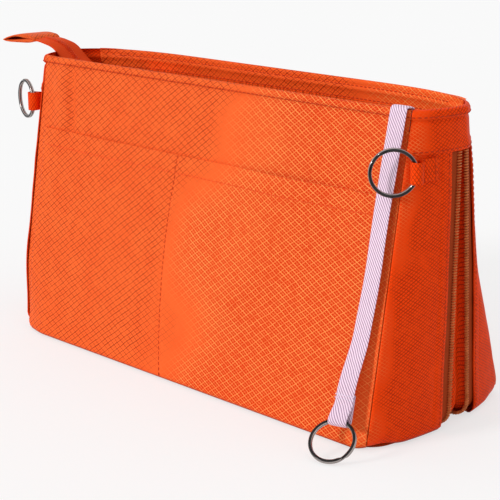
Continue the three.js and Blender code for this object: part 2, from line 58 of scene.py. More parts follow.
def top(node):
    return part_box(node)[1].z / mm


# Plan of the pouch in millimetres, as the solids are made
pouch = {
    "halfLength": 142.0,                 # to the front corner seams
    "height": top("front_panel"),
    "frontDepth": 58.5,                  # front face to fold plane at the base
    "rearDepth": 45.5,
    "gap": 14.0,                         # between the expander chains at the base
    "lean": 29.0,                        # each face leans in by this from base to rim
    "endBulge": 10.0,
    "frontCorner": 7.0,
    "rearCornerFoot": 7.0,
    "rearCornerEnd": 30.0,
    "rearCornerRear": 70.0,
    "rearCornerOpen": 100.0,             # height where the rear corners are fully swept
    "seamShare": 0.3,
    "seamOverlap": 0.008,
    "rearCornerShare": 0.97,
    "panelTurn": 0.46,                   # the front cloth turns this share of its corner, then the end begins
    "pocketInset": 9.2,                  # left edge of the front pocket, at its mouth
    "yokeFoot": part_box("right_yoke")[0].z / mm,
    "rimRadius": 1.9,                    # the folded rim, in section
    "cloth": 0.8,
    "seamGap": 0.3,
}
foldY = pouch["frontDepth"] / 2
rimZ = pouch["height"]
half = pouch["halfLength"]


def smooth(a, b, x):
    t = min(1.0, max(0.0, (x - a) / (b - a)))
    return t * t * (3 - 2 * t)


def mix(a, b, t):
    return a + (b - a) * t


def hump(x, middle, width):
    return math.exp(-((x - middle) / width) ** 2)


# How far a rounded edge has drawn in at a distance from where it ends
def roundedOff(radius, fromEdge):
    near = max(0.0, radius - fromEdge)
    return radius - math.sqrt(max(0.0, radius * radius - near * near))


def steps(a, b, count):
    return [a + (b - a) * i / count for i in range(count + 1)]


def frontY(z):
    return -foldY + pouch["lean"] * z / rimZ


def rearY(z):
    return foldY + pouch["gap"] + pouch["rearDepth"] - pouch["lean"] * z / rimZ


def rearChainY(z):
    return foldY + pouch["gap"] * (1 - z / rimZ)


def cornerLegs(z):
    opened = smooth(0, pouch["rearCornerOpen"], z)
    end = mix(pouch["rearCornerFoot"], pouch["rearCornerEnd"], opened)
    return end, mix(pouch["rearCornerFoot"], pouch["rearCornerRear"], opened)


def bulgedX(y, z):
    share = (y - frontY(z)) / (rearY(z) - frontY(z))
    return half + 4 * pouch["endBulge"] * share * (1 - share)


def bend(a, b, c, t):
    return (1 - t) ** 2 * a + 2 * t * (1 - t) * b + t * t * c


def rearCorner(t, z):
    end, rear = cornerLegs(z)
    start = bulgedX(rearY(z) - end, z)
    return bend(start, half, half - rear, t), rearY(z) - end * (1 - t) ** 2


def sideX(y, z):
    end = cornerLegs(z)[0]
    if y <= rearY(z) - end:
        return bulgedX(y, z)
    return rearCorner(1 - math.sqrt(max(0.0, rearY(z) - y) / end), z)[0]


def frontCorner(t, z):
    leg = pouch["frontCorner"]
    x = bend(half - leg, half, sideX(frontY(z) + leg, z), t)
    return x, frontY(z) + leg * t * t


def frontLine(t, z):
    return mix(-1, 1, t) * (half - pouch["frontCorner"]), frontY(z)


def rearLine(t, z):
    return mix(1, -1, t) * (half - cornerLegs(z)[1]), rearY(z)


def endLine(fromY, toY):
    def place(t, z):
        y = mix(fromY(z), toY(z), t)
        return sideX(y, z), y
    return place


def frontSeamY(z):
    return frontY(z) + pouch["frontCorner"] + pouch["seamGap"]


def rearSeamY(z):
    return rearCorner(pouch["seamShare"], z)[1] - pouch["seamGap"]


# A column is a place along the outline: stretch, t, sense of travel, side
def columns(stretch, a, b, count, side=1):
    return [(stretch, t, 1 if b > a else -1, side) for t in steps(a, b, count)]


def onOutline(column, z):
    stretch, t, sense, side = column
    x0, y0 = stretch(t - 1e-4, z)
    x1, y1 = stretch(t + 1e-4, z)
    x, y = stretch(t, z)
    ax, ay = side * (x1 - x0) * sense, (y1 - y0) * sense
    size = math.hypot(ax, ay)
    return side * x, y, -ay / size, ax / size      # the point, and inwards from it


# The left edge of the pocket lies in from the corner, and the panel shows beside it
def pocketLine(t, z):
    left = -mix(half - pouch["frontCorner"], half - pouch["pocketInset"], smooth(8, 110, z))
    return mix(left, half - pouch["frontCorner"], t), frontY(z)


frontWall = (
    columns(frontCorner, pouch["panelTurn"], 0.1, 6, -1)
    + columns(frontLine, 0, 1, 170)
    + columns(frontCorner, 0.1, pouch["panelTurn"], 6)
)
pocketWall = columns(pocketLine, 0, 1, 170) + frontWall[-7:]
rearSeam = pouch["seamShare"] - pouch["seamOverlap"]
rearWall = (
    columns(rearCorner, rearSeam, pouch["rearCornerShare"], 34)
    + columns(rearLine, 0, 1, 72)
    + columns(rearCorner, pouch["rearCornerShare"], rearSeam, 34, -1)
)


# Making meshes: points in millimetres, the cloth laid flat as "cut", and a value at each point for painted
# sheen and tone
def addObject(name, points, faces, material, uvs=None, sheenAndTone=None, sheenAndToneName="threadSheenAndTone"):
    mesh = bpy.data.meshes.new(name)
    mesh.from_pydata([Vector(p) * mm for p in points], [], faces)
    if uvs is not None:
        layer = mesh.uv_layers.new(name="cut")
        layer.data.foreach_set("uv", np.array(uvs, np.float32).ravel() * mm)
    if sheenAndTone is not None:
        shade = mesh.attributes.new(sheenAndToneName, "FLOAT", "POINT")
        shade.data.foreach_set("value", np.array(sheenAndTone, np.float32))
    mesh.polygons.foreach_set("use_smooth", [True] * len(mesh.polygons))
    mesh.materials.append(material)
    mesh.validate()
    thing = bpy.data.objects.new(name, mesh)
    bpy.context.scene.collection.objects.link(thing)
    return thing


# Rows that go once round a piece, over its face and back along its other side, with both ends closed
def loopedMesh(name, grid, material, sheenAndToneAt=None, lengthwise=False):
    rows, count = len(grid), len(grid[0])
    points = [p for row in grid for p in row]
    flat = np.array(points, float).reshape(rows, count, 3)
    middle = flat[:, count // 2]
    vs = np.concatenate([[0], np.cumsum(np.linalg.norm(np.diff(middle, axis=0), axis=1))])
    vs = np.append(vs, vs[-1] + np.linalg.norm(middle[0] - middle[-1]))
    us = np.zeros((rows, count))
    us[:, 1:] = np.cumsum(np.linalg.norm(np.diff(flat, axis=1), axis=2), axis=1)
    us -= us[:, [count // 2]]
    faces, uvs = [], []

    def put(corners):
        faces.append([r % rows * count + c for r, c in corners])
        for r, c in corners:
            along = us[r % rows, c]
            uvs.append((vs[r], along) if lengthwise else (along, vs[r]))
    for r in range(rows):
        for c in range(count - 1):
            put([(r, c), (r, c + 1), (r + 1, c + 1), (r + 1, c)])
    for r in range(rows // 2 - 1):
        put([(r, 0), (r + 1, 0), (rows - 2 - r, 0), (rows - 1 - r, 0)])
        last = count - 1
        put([(r + 1, last), (r, last), (rows - 1 - r, last), (rows - 2 - r, last)])
    sheenAndTone = [sheenAndToneAt(*p) for p in points] if sheenAndToneAt else None
    return turnedOut(addObject(name, points, faces, material, uvs, sheenAndTone))


def turnedOut(thing):
    mesh = thing.data
    mesh.calc_loop_triangles()
    co = np.zeros(len(mesh.vertices) * 3)
    mesh.vertices.foreach_get("co", co)
    tri = np.zeros(len(mesh.loop_triangles) * 3, int)
    mesh.loop_triangles.foreach_get("vertices", tri)
    a, b, c = (co.reshape(-1, 3)[tri.reshape(-1, 3)[:, k]] for k in range(3))
    if (a * np.cross(b, c)).sum() < 0:
        mesh.flip_normals()
    return thing


def level(z):
    return 0.0


# Section of a wall of cloth: heights and depths up the outside, then down the inside
def wallSection(low, high, spacing, depth, thickness, leanIn=level, raised=level):
    r = thickness / 2
    heights = [low + r * (1 - math.cos(a)) for a in steps(0, math.pi / 2, 3)]
    heights += steps(low + r, high - r, max(2, round((high - low) / spacing)))[1:-1]
    heights += [high - r + r * math.sin(a) for a in steps(0, math.pi / 2, 3)]

    def inset(z):
        return roundedOff(r, min(z - low, high - z))
    outside = [(z, depth + inset(z) + leanIn(z) - raised(z)) for z in heights]
    inside = [(z, depth + thickness - inset(z) + leanIn(z)) for z in heights]
    return outside + inside[::-1]


# Cloth on the outline: swell(x, y, z) pushes it outwards
def clothWall(name, wall, section, material, swell, sheenAndToneAt):
    grid = []
    places = {}
    for z, depth in section:
        row = []
        for k, column in enumerate(wall):
            if (k, z) not in places:
                x, y, ix, iy = onOutline(column, z)
                places[k, z] = x, y, ix, iy, swell(x, y, z)
            x, y, ix, iy, push = places[k, z]
            row.append((x + ix * (depth - push), y + iy * (depth - push), z))
        grid.append(row)
    return loopedMesh(name, grid, material, sheenAndToneAt)


def rimLean(z):
    return roundedOff(pouch["rimRadius"], rimZ - z)


def ripple(x, y, z, size, seed):
    return noise.noise(Vector((x / size + seed, y / size - seed, z / size + 2 * seed)))


# A few sizes of ripple added up, each as (height, spread, seed)
def ripples(sizes, x, y, z):
    return sum(height * ripple(x, y, z, spread, seed) for height, spread, seed in sizes)


def settle(piece, body, slot, *nodes):
    if nodes:
        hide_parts(*nodes)
    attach(piece, body)


# Finishes: nodes go into the tree that is on the bench
bench = {}


def newMaterial(name):
    material = bpy.data.materials.new(name)
    material.use_nodes = True
    bench["tree"] = material.node_tree
    return material, material.node_tree.nodes["Principled BSDF"].inputs


def addNode(kind, **values):
    made = bench["tree"].nodes.new(kind)
    for key, value in values.items():
        setattr(made, key, value)
    return made


# A number or a colour is set on the socket, and anything else is wired to it
def feed(value, socket):
    if isinstance(value, (int, float, tuple)):
        socket.default_value = value
    else:
        bench["tree"].links.new(value, socket)


def feedAll(made, **values):
    for name, value in values.items():
        feed(value, made.inputs[name.replace("_", " ")])


def mathNode(operation, a, b, clamp=False):
    made = addNode("ShaderNodeMath", operation=operation, use_clamp=clamp)
    feed(a, made.inputs[0])
    feed(b, made.inputs[1])
    return made.outputs[0]


def times(a, b):
    return mathNode("MULTIPLY", a, b)


def larger(a, b):
    return mathNode("MAXIMUM", a, b)


def mapped(value, low, high, toLow=0.0, toHigh=1.0):
    made = addNode("ShaderNodeMapRange", interpolation_type="SMOOTHSTEP")
    feedAll(made, Value=value, From_Min=low, From_Max=high, To_Min=toLow, To_Max=toHigh)
    return made.outputs["Result"]


def blendColour(share, a, b):
    made = addNode("ShaderNodeMix", data_type="RGBA")
    feed(share, made.inputs[0])
    feed(a, made.inputs[6])
    feed(b, made.inputs[7])
    return made.outputs[2]


def colour(red, green, blue):
    def linear(c):
        c /= 255
        return c / 12.92 if c <= 0.04045 else ((c + 0.055) / 1.055) ** 2.4
    return linear(red), linear(green), linear(blue), 1.0


def noiseValue(coordinates, scale, detail=2.0, rough=0.5):
    made = addNode("ShaderNodeTexNoise")
    feedAll(made, Vector=coordinates, Scale=scale, Detail=detail, Roughness=rough)
    return made.outputs["Fac"]


def objectPlace():
    return addNode("ShaderNodeTexCoord").outputs["Object"]


def cutPlace():
    return addNode("ShaderNodeUVMap", uv_map="cut").outputs[0]


def pointValue(name):
    return addNode("ShaderNodeAttribute", attribute_name=name).outputs["Fac"]


def bumped(inputs, height, strength, depth):
    bump = addNode("ShaderNodeBump")
    feedAll(bump, Strength=strength, Distance=depth * mm, Height=height)
    feed(bump.outputs[0], inputs["Normal"])


# Distance from the nearest line of a family that runs at an angle over the cut, 0 on the line, 0.5 between
def lineDistance(cut, angle, pitch, wander=None):
    dot = addNode("ShaderNodeVectorMath", operation="DOT_PRODUCT")
    feed(cut, dot.inputs[0])
    dot.inputs[1].default_value = (-math.sin(angle) / pitch, math.cos(angle) / pitch, 0)
    value = dot.outputs["Value"]
    if wander is not None:
        value = mathNode("ADD", value, wander)
    return mathNode("PINGPONG", value, 0.5)


# Ripstop: a diamond grid of thick threads over a fine plain weave
ripstopLook = {
    "cloth": colour(255, 112, 50),
    "clothDeep": colour(220, 44, 0),
    # painted light: the same thick thread in the colour it shows in shade, then where it catches the light
    "shadedThread": colour(136, 14, 0),
    "litThread": colour(255, 168, 90),
    "footShade": colour(150, 40, 8),
    "pitch": 3.12 * mm,
    "angle": math.radians(34.7),
    "turn": math.radians(3.8),
    "between": 0.45,               # every other thread is finer
    "crossBetween": 0.32,          # and hardly shows across where the threads look dark
    "thread": 0.068,               # half a thread's width, as a share of the pitch
    "fineThreads": 0.42 * mm,
    "roughness": 0.5,
}


def ripstopMaterial(name, look, contrast=1.0):
    material, inputs = newMaterial(name)
    cut = cutPlace()
    place = objectPlace()
    sheenAndTone = pointValue("threadSheenAndTone")
    angles = look["turn"] + look["angle"], look["turn"] - look["angle"]
    wander = times(mathNode("SUBTRACT", noiseValue(cut, 90, 2), 0.5), 0.5)
    one, two = (lineDistance(cut, angle, look["pitch"], wander) for angle in angles)
    t = look["thread"]
    first, second = (mapped(away, t * 0.4, t * 1.5, 1, 0) for away in (one, two))
    fineFirst, fineSecond = (
        mapped(away, 0.5 - t * 1.4, 0.5 - t * 0.4, 0, look["between"]) for away in (one, two))
    fineSecond = times(fineSecond, mapped(sheenAndTone, 0.3, 0.8, look["crossBetween"], 1.2))
    first = times(larger(first, fineFirst), mapped(sheenAndTone, 0.2, 0.9, 1.0, 0.72))
    second = times(larger(second, fineSecond), mapped(sheenAndTone, 0.1, 0.8, 0.72, 1.0))
    threads = larger(first, second)
    warp, weft = (lineDistance(cut, angle, look["fineThreads"]) for angle in angles)
    fine = times(warp, weft)
    patch = noiseValue(place, 60, 3, 0.6)
    cloth = blendColour(mapped(patch, 0.3, 0.75, 0, 0.16), look["cloth"], look["clothDeep"])
    # Painted light: the sheen value turns the thick threads from their shaded to their lit colour and paints
    # the cloth between them deeper
    cloth = blendColour(mapped(sheenAndTone, 0.3, 1.0, 0.0, 0.9), cloth, look["clothDeep"])
    line = blendColour(mapped(sheenAndTone, 0.28, 0.56), look["shadedThread"], cloth)
    line = blendColour(mapped(sheenAndTone, 0.42, 0.8), line, look["litThread"])
    wear = mapped(noiseValue(place, 240, 2), 0.25, 0.6, 0.55, 1.0)
    base = blendColour(times(times(threads, contrast), wear), cloth, line)
    base = blendColour(times(fine, 0.9), base, look["clothDeep"])
    # Painted shade: the cloth is painted darker within 2.4 mm of the floor, as the shade where it meets the
    # floor
    spot = addNode("ShaderNodeSeparateXYZ")
    feed(place, spot.inputs[0])
    footShadeShare = mapped(spot.outputs["Z"], 0.5 * mm, 2.4 * mm, 0.75, 0.0)
    feed(blendColour(footShadeShare, base, look["footShade"]), inputs["Base Color"])
    bumped(inputs, mathNode("ADD", threads, times(fine, 1.6)), 0.45, 0.12)
    feed(mapped(threads, 0, 1, look["roughness"] + 0.08, look["roughness"] - 0.1), inputs["Roughness"])
    feed(0.05, inputs["Specular IOR Level"])
    return material


# On the ends the same cloth is cut on another grain and its threads hardly show. Its colours are a shaded
# copy of the front's, painted redder and deeper as the cloth looks in shade
shadedEndLook = dict(
    ripstopLook, cloth=colour(255, 76, 10), clothDeep=colour(236, 52, 2), shadedThread=colour(138, 8, 0),
    litThread=colour(255, 132, 66), between=0.9, crossBetween=0.9)
liningLook = dict(ripstopLook, cloth=colour(214, 76, 32), clothDeep=colour(186, 58, 20), roughness=0.65)
# Painted shade: the inside cloth is a shaded copy of the front's, painted a little redder as the cloth looks
# in shade
shadedInsideLook = dict(ripstopLook, cloth=colour(255, 104, 40), clothDeep=colour(250, 70, 14), crossBetween=0.45)
ripstop = ripstopMaterial("ripstop", ripstopLook)
ripstopShadedEnd = ripstopMaterial("ripstopShadedEnd", shadedEndLook, 0.8)
ripstopShadedInside = ripstopMaterial("ripstopShadedInside", shadedInsideLook)
lining = ripstopMaterial("lining", liningLook, 0.35)

# Woven zip tape: a herringbone of fine ribs along the tape
tapeLook = {
    "base": colour(200, 84, 34),
    "deep": colour(146, 50, 14),
    "rib": 0.62 * mm,
    "slant": math.radians(52),
}


def tapeMaterial(name, look):
    material, inputs = newMaterial(name)
    cut = cutPlace()
    ribs, cross = (lineDistance(cut, slant, look["rib"]) for slant in (look["slant"], -look["slant"]))
    weave = times(ribs, cross)
    dust = noiseValue(objectPlace(), 130, 3)
    base = blendColour(mathNode("MULTIPLY", weave, 5.0, True), look["deep"], look["base"])
    feed(blendColour(mapped(dust, 0.35, 0.8, 0, 0.35), base, look["deep"]), inputs["Base Color"])
    bumped(inputs, weave, 0.5, 0.15)
    feed(mapped(dust, 0.2, 0.8, 0.62, 0.78), inputs["Roughness"])
    feed(0.1, inputs["Specular IOR Level"])
    return material


zipTape = tapeMaterial("zipTape", tapeLook)
orangeTape = tapeMaterial("orangeTape", dict(tapeLook, base=colour(255, 96, 34), deep=colour(222, 62, 12)))


# Plain finishes whose colour and gloss drift a little over the piece
def driftingMaterial(name, base, deep, scale, rough, bumpDepth=0.0):
    material, inputs = newMaterial(name)
    drift = noiseValue(objectPlace(), scale, 4, 0.6)
    feed(blendColour(mapped(drift, 0.3, 0.75), base, deep), inputs["Base Color"])
    feed(mapped(drift, 0.2, 0.8, *rough), inputs["Roughness"])
    feed(0.15, inputs["Specular IOR Level"])
    if bumpDepth:
        bumped(inputs, drift, 0.4, bumpDepth)
    return material


coilNylon = driftingMaterial("coilNylon", colour(226, 132, 74), colour(192, 98, 48), 300, (0.35, 0.5))
orangeNylon = driftingMaterial("orangeNylon", colour(250, 96, 42), colour(222, 72, 26), 300, (0.35, 0.5))
thread = driftingMaterial("thread", colour(206, 62, 18), colour(176, 46, 10), 900, (0.55, 0.7))
softThread = driftingMaterial("softThread", colour(246, 96, 40), colour(224, 76, 26), 900, (0.55, 0.7))
paleThread = driftingMaterial("paleThread", colour(244, 234, 248), colour(214, 200, 224), 900, (0.6, 0.75))
foam = driftingMaterial("foam", colour(232, 226, 216), colour(208, 200, 188), 700, (0.85, 0.95), 0.4)
board = driftingMaterial("board", colour(76, 74, 72), colour(58, 56, 56), 400, (0.6, 0.75), 0.1)

gunmetal = {
    "dark": colour(34, 32, 32),
    "body": colour(58, 55, 55),
    "edgeGlint": colour(176, 168, 164),     # painted reflection: the edges of a wire, painted bright as they would mirror the bright room
}


def metalMaterial(name, look):
    material, inputs = newMaterial(name)
    drift = noiseValue(objectPlace(), 220, 4, 0.6)
    # Painted reflection: where the wireEdge value is high the metal is painted bright
    glintShare = mapped(pointValue("wireEdge"), 0.55, 0.95)
    body = blendColour(mapped(drift, 0.3, 0.75), look["body"], look["dark"])
    feed(blendColour(glintShare, body, look["edgeGlint"]), inputs["Base Color"])
    feed(mapped(drift, 0.2, 0.8, 0.08, 0.2), inputs["Roughness"])
    feed(1.0, inputs["Metallic"])
    return material


metal = metalMaterial("metal", gunmetal)

# Ribbed elastic: slanting ribs with a cross weave
elasticLook = {
    "base": colour(246, 220, 238),
    "deep": colour(132, 84, 124),
    "rib": 1.3 * mm,
    "slant": math.radians(54),
    "crossRib": 0.45 * mm,
    "crossSlant": math.radians(4),
}


def elasticMaterial(name, look):
    material, inputs = newMaterial(name)
    cut = cutPlace()
    drift = noiseValue(objectPlace(), 160, 2)
    ribs = lineDistance(cut, look["slant"], look["rib"], times(drift, 0.8))
    fine = lineDistance(cut, look["crossSlant"], look["crossRib"])
    height = mathNode("ADD", ribs, times(fine, 0.35))
    feed(blendColour(mapped(height, 0.1, 0.36), look["deep"], look["base"]), inputs["Base Color"])
    bumped(inputs, height, 0.6, 0.25)
    feed(mapped(drift, 0.2, 0.8, 0.7, 0.85), inputs["Roughness"])
    feed(0.2, inputs["Sheen Weight"])
    return material


elastic = elasticMaterial("elastic", elasticLook)
print("finishes made:", len(bpy.data.materials))


# Walls of the pouch: the outer cloth is soft, and the layers behind it follow the same form
frontForm = {
    "belly": 1.1,
    "turnFrom": 116.0,             # from here the face turns back towards its right corner
    "turn": 0.0085,
    "leftTurnFrom": 118.0,
    "leftTurn": 0.003,
    "creaseX": (-108.4, -114.5),   # upright crease by the left end, from pocket hem to rim
    "creaseDepth": 2.0,
    "creaseWidth": 2.8,
    "creaseRidge": 1.5,
    "pucker": 0.9,                 # slanting folds at the right end of the pocket's mouth
    "ripples": ((0.28, 46, 3.1), (0.12, 17, 7.7)),
    "footRadius": 4.0,
    "rimHem": 4.6,
    "rimHemProud": 0.9,
    "welt": 0.9,                   # the end's cloth stands proud along the corner seam
    "weltWidth": 2.2,
    "cornerRadius": 10.0,          # the base corners are rounded
    "cornerReach": 15.0,
    "leftFoot": 4.5,               # the left foot draws in further
    "flat": 2 * half + 14,
}


def footRound(z):
    return roundedOff(frontForm["footRadius"], z)


def wallLean(z):
    return footRound(z) + rimLean(z)


# How far the cloth draws in where two walls and the base meet
def cornerPull(x, z):
    r = frontForm["cornerRadius"] * smooth(half - frontForm["cornerReach"], half - 1, abs(x))
    foot = frontForm["leftFoot"] * smooth(48, 0, z) * smooth(half - 26, half, -x)
    return max(0.0, roundedOff(r, z) - footRound(z)) + foot


# A hem along the rim, with the groove that its stitches pull
def rimHem(z):
    foot = rimZ - frontForm["rimHem"]
    return frontForm["rimHemProud"] * (smooth(foot - 0.2, foot + 0.5, z) - 0.9 * hump(z, foot - 0.6, 0.9))


def frontSwell(x, y, z):
    form = frontForm
    push = form["belly"] * (1 - (x / half) ** 2) * math.sin(math.pi * z / rimZ)
    turn = form["turn"] * max(0.0, x - form["turnFrom"]) ** 2 * smooth(rimZ + 6, 140, z)
    turn += form["leftTurn"] * max(0.0, -x - form["leftTurnFrom"]) ** 2
    push -= turn * (1 - 0.8 * smooth(half - 6, half, abs(x)))
    crease = mix(*form["creaseX"], smooth(127, rimZ, z))
    valley = hump(x, crease, form["creaseWidth"]) * smooth(118, 130, z) * smooth(rimZ, 160, z)
    ridge = hump(x, crease - 9, 7) * smooth(122, 134, z) * smooth(rimZ, 158, z)
    push += form["creaseRidge"] * ridge - form["creaseDepth"] * valley
    push += ripples(form["ripples"], x, y, z)
    slanted = x + (z - 126) * 1.1
    push += form["pucker"] * (hump(slanted, 120, 5) - 0.8 * hump(slanted, 111, 5)) * hump(z, 124, 15)
    return push * smooth(0, 12, z) * (1 - 0.6 * smooth(160, rimZ, z)) + rimHem(z) - cornerPull(x, z)


pocketForm = {
    "height": top("front_slip_pocket"),
    "hem": 11.0,
    "hemProud": 0.4,
    "gapeX": 70.0,                 # the mouth stands open here
    "gapeWidth": 24.0,
    "gape": 2.4,
    "leftGape": 0.5,
    "dividerX": (-9.0, -15.0, -12.0),
    "dividerDepth": 0.9,
    "dividerRidge": 0.45,
}


def dividerX(z):
    low, middle, high = pocketForm["dividerX"]
    return bend(low, 2 * middle - (low + high) / 2, high, z / pocketForm["height"])


def pocketSwell(x, y, z):
    form = pocketForm
    panel = frontSwell(x, y, z)
    push = panel
    push += form["gape"] * hump(x, form["gapeX"], form["gapeWidth"]) * smooth(80, form["height"], z)
    push += form["leftGape"] * hump(x, -60, 26) * smooth(90, form["height"], z)
    push -= form["dividerDepth"] * hump(x, dividerX(z), 1.6) * smooth(0, 12, z)
    push += form["dividerRidge"] * hump(x, dividerX(z), 9) * smooth(0, 20, z)
    return max(push, panel - 0.25)


# The folded hem below a pocket's mouth stands proud of the cloth
def hemBelow(mouth):
    foot = mouth - pocketForm["hem"]

    def proud(z):
        return pocketForm["hemProud"] * smooth(foot, foot + 0.8, z)
    return proud


rearForm = {
    "belly": 1.4,
    "creaseX": -118.0,
    "creaseDepth": 0.9,
    "ripples": ((0.5, 50, 5.3), (0.15, 18, 1.9)),
    "flat": 2 * half + 10,
    "pocketTop": top("rear_slip_pocket"),
    "pocketSlack": 0.8,
    "pocketFlat": 2 * half - 20,
}


def rearSwell(x, y, z):
    form = rearForm
    push = form["belly"] * (1 - (x / half) ** 2) * math.sin(math.pi * z / rimZ)
    push += ripples(form["ripples"], x, y, z)
    push -= form["creaseDepth"] * hump(x - 0.25 * (z - 150), form["creaseX"], 4) * smooth(110, 150, z)
    return push * smooth(0, 12, z) * (1 - 0.7 * smooth(158, rimZ, z)) + rimHem(z) - 0.5 * cornerPull(x, z)


def rearPocketSwell(x, y, z):
    slack = hump(x, 10, 60) * smooth(80, rearForm["pocketTop"], z)
    return rearSwell(x, y, z) + rearForm["pocketSlack"] * slack


expander = {
    "tapeWidth": 10.2,
    "tapeDepth": 0.95,
    "tapeThickness": 0.5,
    "length": 590,                 # down one end, under the base and up the other
    "chainEdge": 2.3,              # chain plane to the tape's near edge
    "underYoke": 2.6,              # the zip and the ends are sewn in under the yoke
    "turnRadius": 10.0,
    "clothEdge": 8.7,              # chain plane to the edge of the end panels
    "toothPitch": 1.45,
    "tooth": (0.86, 3.7, 1.9),
    "toothPlace": 1.75,
}
endForm = {
    "hem": 0.5,                    # the turned edge beside the zip
    "hemGroove": 0.25,
    "belly": 0.9,
    "ripples": ((0.5, 34, 2.2), (0.2, 12, 9.4)),
}


def endSwell(x, y, z):
    edge = expander["clothEdge"]
    toZip = min(abs(y - (foldY - edge)), abs(y - (rearChainY(z) + edge)))
    push = endForm["hem"] * smooth(6.5, 5.5, toZip) - endForm["hemGroove"] * hump(toZip, 6.2, 0.8)
    push += ripples(endForm["ripples"], x, y, z)
    push += endForm["belly"] * hump(y, frontY(z) + 26, 16) * math.sin(math.pi * z / rimZ)
    push += frontForm["welt"] * hump(y - frontY(z), 1.6, frontForm["weltWidth"])
    near = smooth(26, 8, y - frontY(z)) + 0.5 * smooth(26, 8, rearY(z) - y)
    return push * smooth(0, 10, z) - near * cornerPull(x, z)


yokeForm = {
    "hem": 0.55,
    "proud": 0.3,
    "ripple": 0.45,
    "cloth": 1.4,
    "flat": (52, 2 * (rimZ - pouch["yokeFoot"]) - 20),
    "give": (12, 16),              # from this far before the fold to this far behind it
}


def yokeSwell(x, y, z):
    push = yokeForm["hem"] * smooth(pouch["yokeFoot"] + 5.5, pouch["yokeFoot"] + 4.6, z)
    push += yokeForm["ripple"] * ripple(x, y, z, 26, 4.4) * smooth(rimZ, 160, z)
    return push + yokeForm["proud"] + rimHem(z)


# Painted sheen and shade of the thick threads: on the right of the front and on the ends they are painted
# pale where they would catch the light, with the cloth between them painted deeper, and on the left they are
# painted dark; a ripple makes the edge wander
def frontSheenAndTone(x, y, z):
    sheenAndTone = smooth(-70, 84, x - 0.35 * (z - 90) + 34 * ripple(x, 0, z, 40, 6.6))
    # Painted shade: by the right corner, where the face turns from the light, the painted sheen is lowered
    return sheenAndTone * (1 - 0.35 * smooth(122, 132, x))


# Painted sheen on the ends: the threads are painted paler near the front seam, where they would catch the
# light, with tone that differs at random
def endSheenAndTone(x, y, z):
    return 0.2 + 0.45 * smooth(14, 2, y - frontY(z)) + 0.4 * ripple(x, y, z, 22, 8.1)


# Painted sheen: the threads are painted paler towards the right, where they would catch the light, with tone
# that differs at random
def rearSheenAndTone(x, y, z):
    return 0.28 + 0.25 * ripple(x, y, z, 45, 2.7) + 0.5 * smooth(20, 110, x)


def evenTone(value):
    return lambda x, y, z: value


def giveAcrossFold(piece, before, behind):
    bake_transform(piece)


layers = {
    "pocket": -1.1,                # slip pockets lie outside the panels
    "foam": 1.1,
    "foamThickness": 1.8,
    "lining": 3.2,
    "liningThickness": 0.6,
    "inside": 4.1,
    "facingTuck": 1.9,
    "flat": 2 * half - 14,
}
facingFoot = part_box("front_facing")[0].z / mm
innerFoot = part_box("front_lining")[0].z / mm
innerTop = top("front_lining")
shell = pouch["cloth"]
frontInner = frontWall[7:-7]
rearInner = rearWall[9:-9]
rearPocketTop = rearForm["pocketTop"]
hemProud = hemBelow(pocketForm["height"])


# A panel, or the slip pocket on it
def outerCloth(name, node, body, wall, section, swell, sheenAndToneAt):
    cloth = clothWall(name, wall, section, ripstop, swell, sheenAndToneAt)
    settle(cloth, body, "ripstop", node)


outerCloth(
    "frontPanel", "front_panel", "front_half", frontWall, wallSection(0, rimZ, 2.2, 0, shell, wallLean),
    frontSwell, frontSheenAndTone)
outerCloth(
    "frontSlipPocket", "front_slip_pocket", "front_half", pocketWall,
    wallSection(0.3, pocketForm["height"], 1.7, layers["pocket"], shell, footRound, hemProud),
    pocketSwell, frontSheenAndTone)
outerCloth(
    "rearPanel", "rear_panel", "rear_half", rearWall, wallSection(0, rimZ, 2.6, 0, shell, wallLean),
    rearSwell, rearSheenAndTone)
outerCloth(
    "rearSlipPocket", "rear_slip_pocket", "rear_half", rearInner,
    wallSection(innerFoot, rearPocketTop, 2.6, layers["pocket"], shell, raised=hemBelow(rearPocketTop)),
    rearPocketSwell, rearSheenAndTone)


# Foam, lining and facing behind a panel
def innerLayers(name, wall, facingWall, swell):
    body = name + "_half"

    # At its ends the facing lies closer to the outer cloth
    def tucked(x, y, z):
        return swell(x, y, z) + layers["facingTuck"] * smooth(122, 138, abs(x))

    def leanOut(z):
        return -rimLean(z)
    section = wallSection(innerFoot, innerTop, 6, layers["foam"], layers["foamThickness"])
    pad = clothWall(name + "Foam", wall, section, foam, swell, None)
    settle(pad, body, "foam", name + "_stiffener")
    section = wallSection(innerFoot, innerTop, 4, layers["lining"], layers["liningThickness"])
    inner = clothWall(name + "Lining", wall, section, lining, swell, evenTone(0.5))
    settle(inner, body, "lining", name + "_lining")
    section = wallSection(facingFoot, rimZ, 1.2, layers["lining"], layers["liningThickness"], leanOut)
    facing = clothWall(name + "Facing", facingWall, section, ripstopShadedInside, tucked, rearSheenAndTone)
    settle(facing, body, "ripstop", name + "_facing")


innerLayers("front", frontInner, frontInner, frontSwell)
innerLayers("rear", rearInner, rearWall, rearSwell)

innerPocketForm = {"cloth": 0.6, "hem": 9.0, "hemProud": 0.35, "sag": 0.9}


def innerPocket(name, sense, faceY, swell):
    form = innerPocketForm
    low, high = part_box(name + "_inner_pocket")
    mouth = high.z / mm
    reach = high.x / mm

    def place(t, z):
        return mix(-sense, sense, t) * reach, faceY(z)

    def hem(z):
        return -form["hemProud"] * smooth(mouth - form["hem"], mouth - form["hem"] + 0.6, z)

    def slack(x, y, z):
        return swell(x, y, z) - form["sag"] * hump(x, 20, 45) * smooth(60, mouth, z)
    section = wallSection(low.z / mm, mouth, 4, layers["inside"], form["cloth"], raised=hem)
    inner = clothWall(name + "InnerPocket", columns(place, 0, 1, 70), section, lining, slack, evenTone(0.5))
    settle(inner, name + "_half", "lining", name + "_inner_pocket")


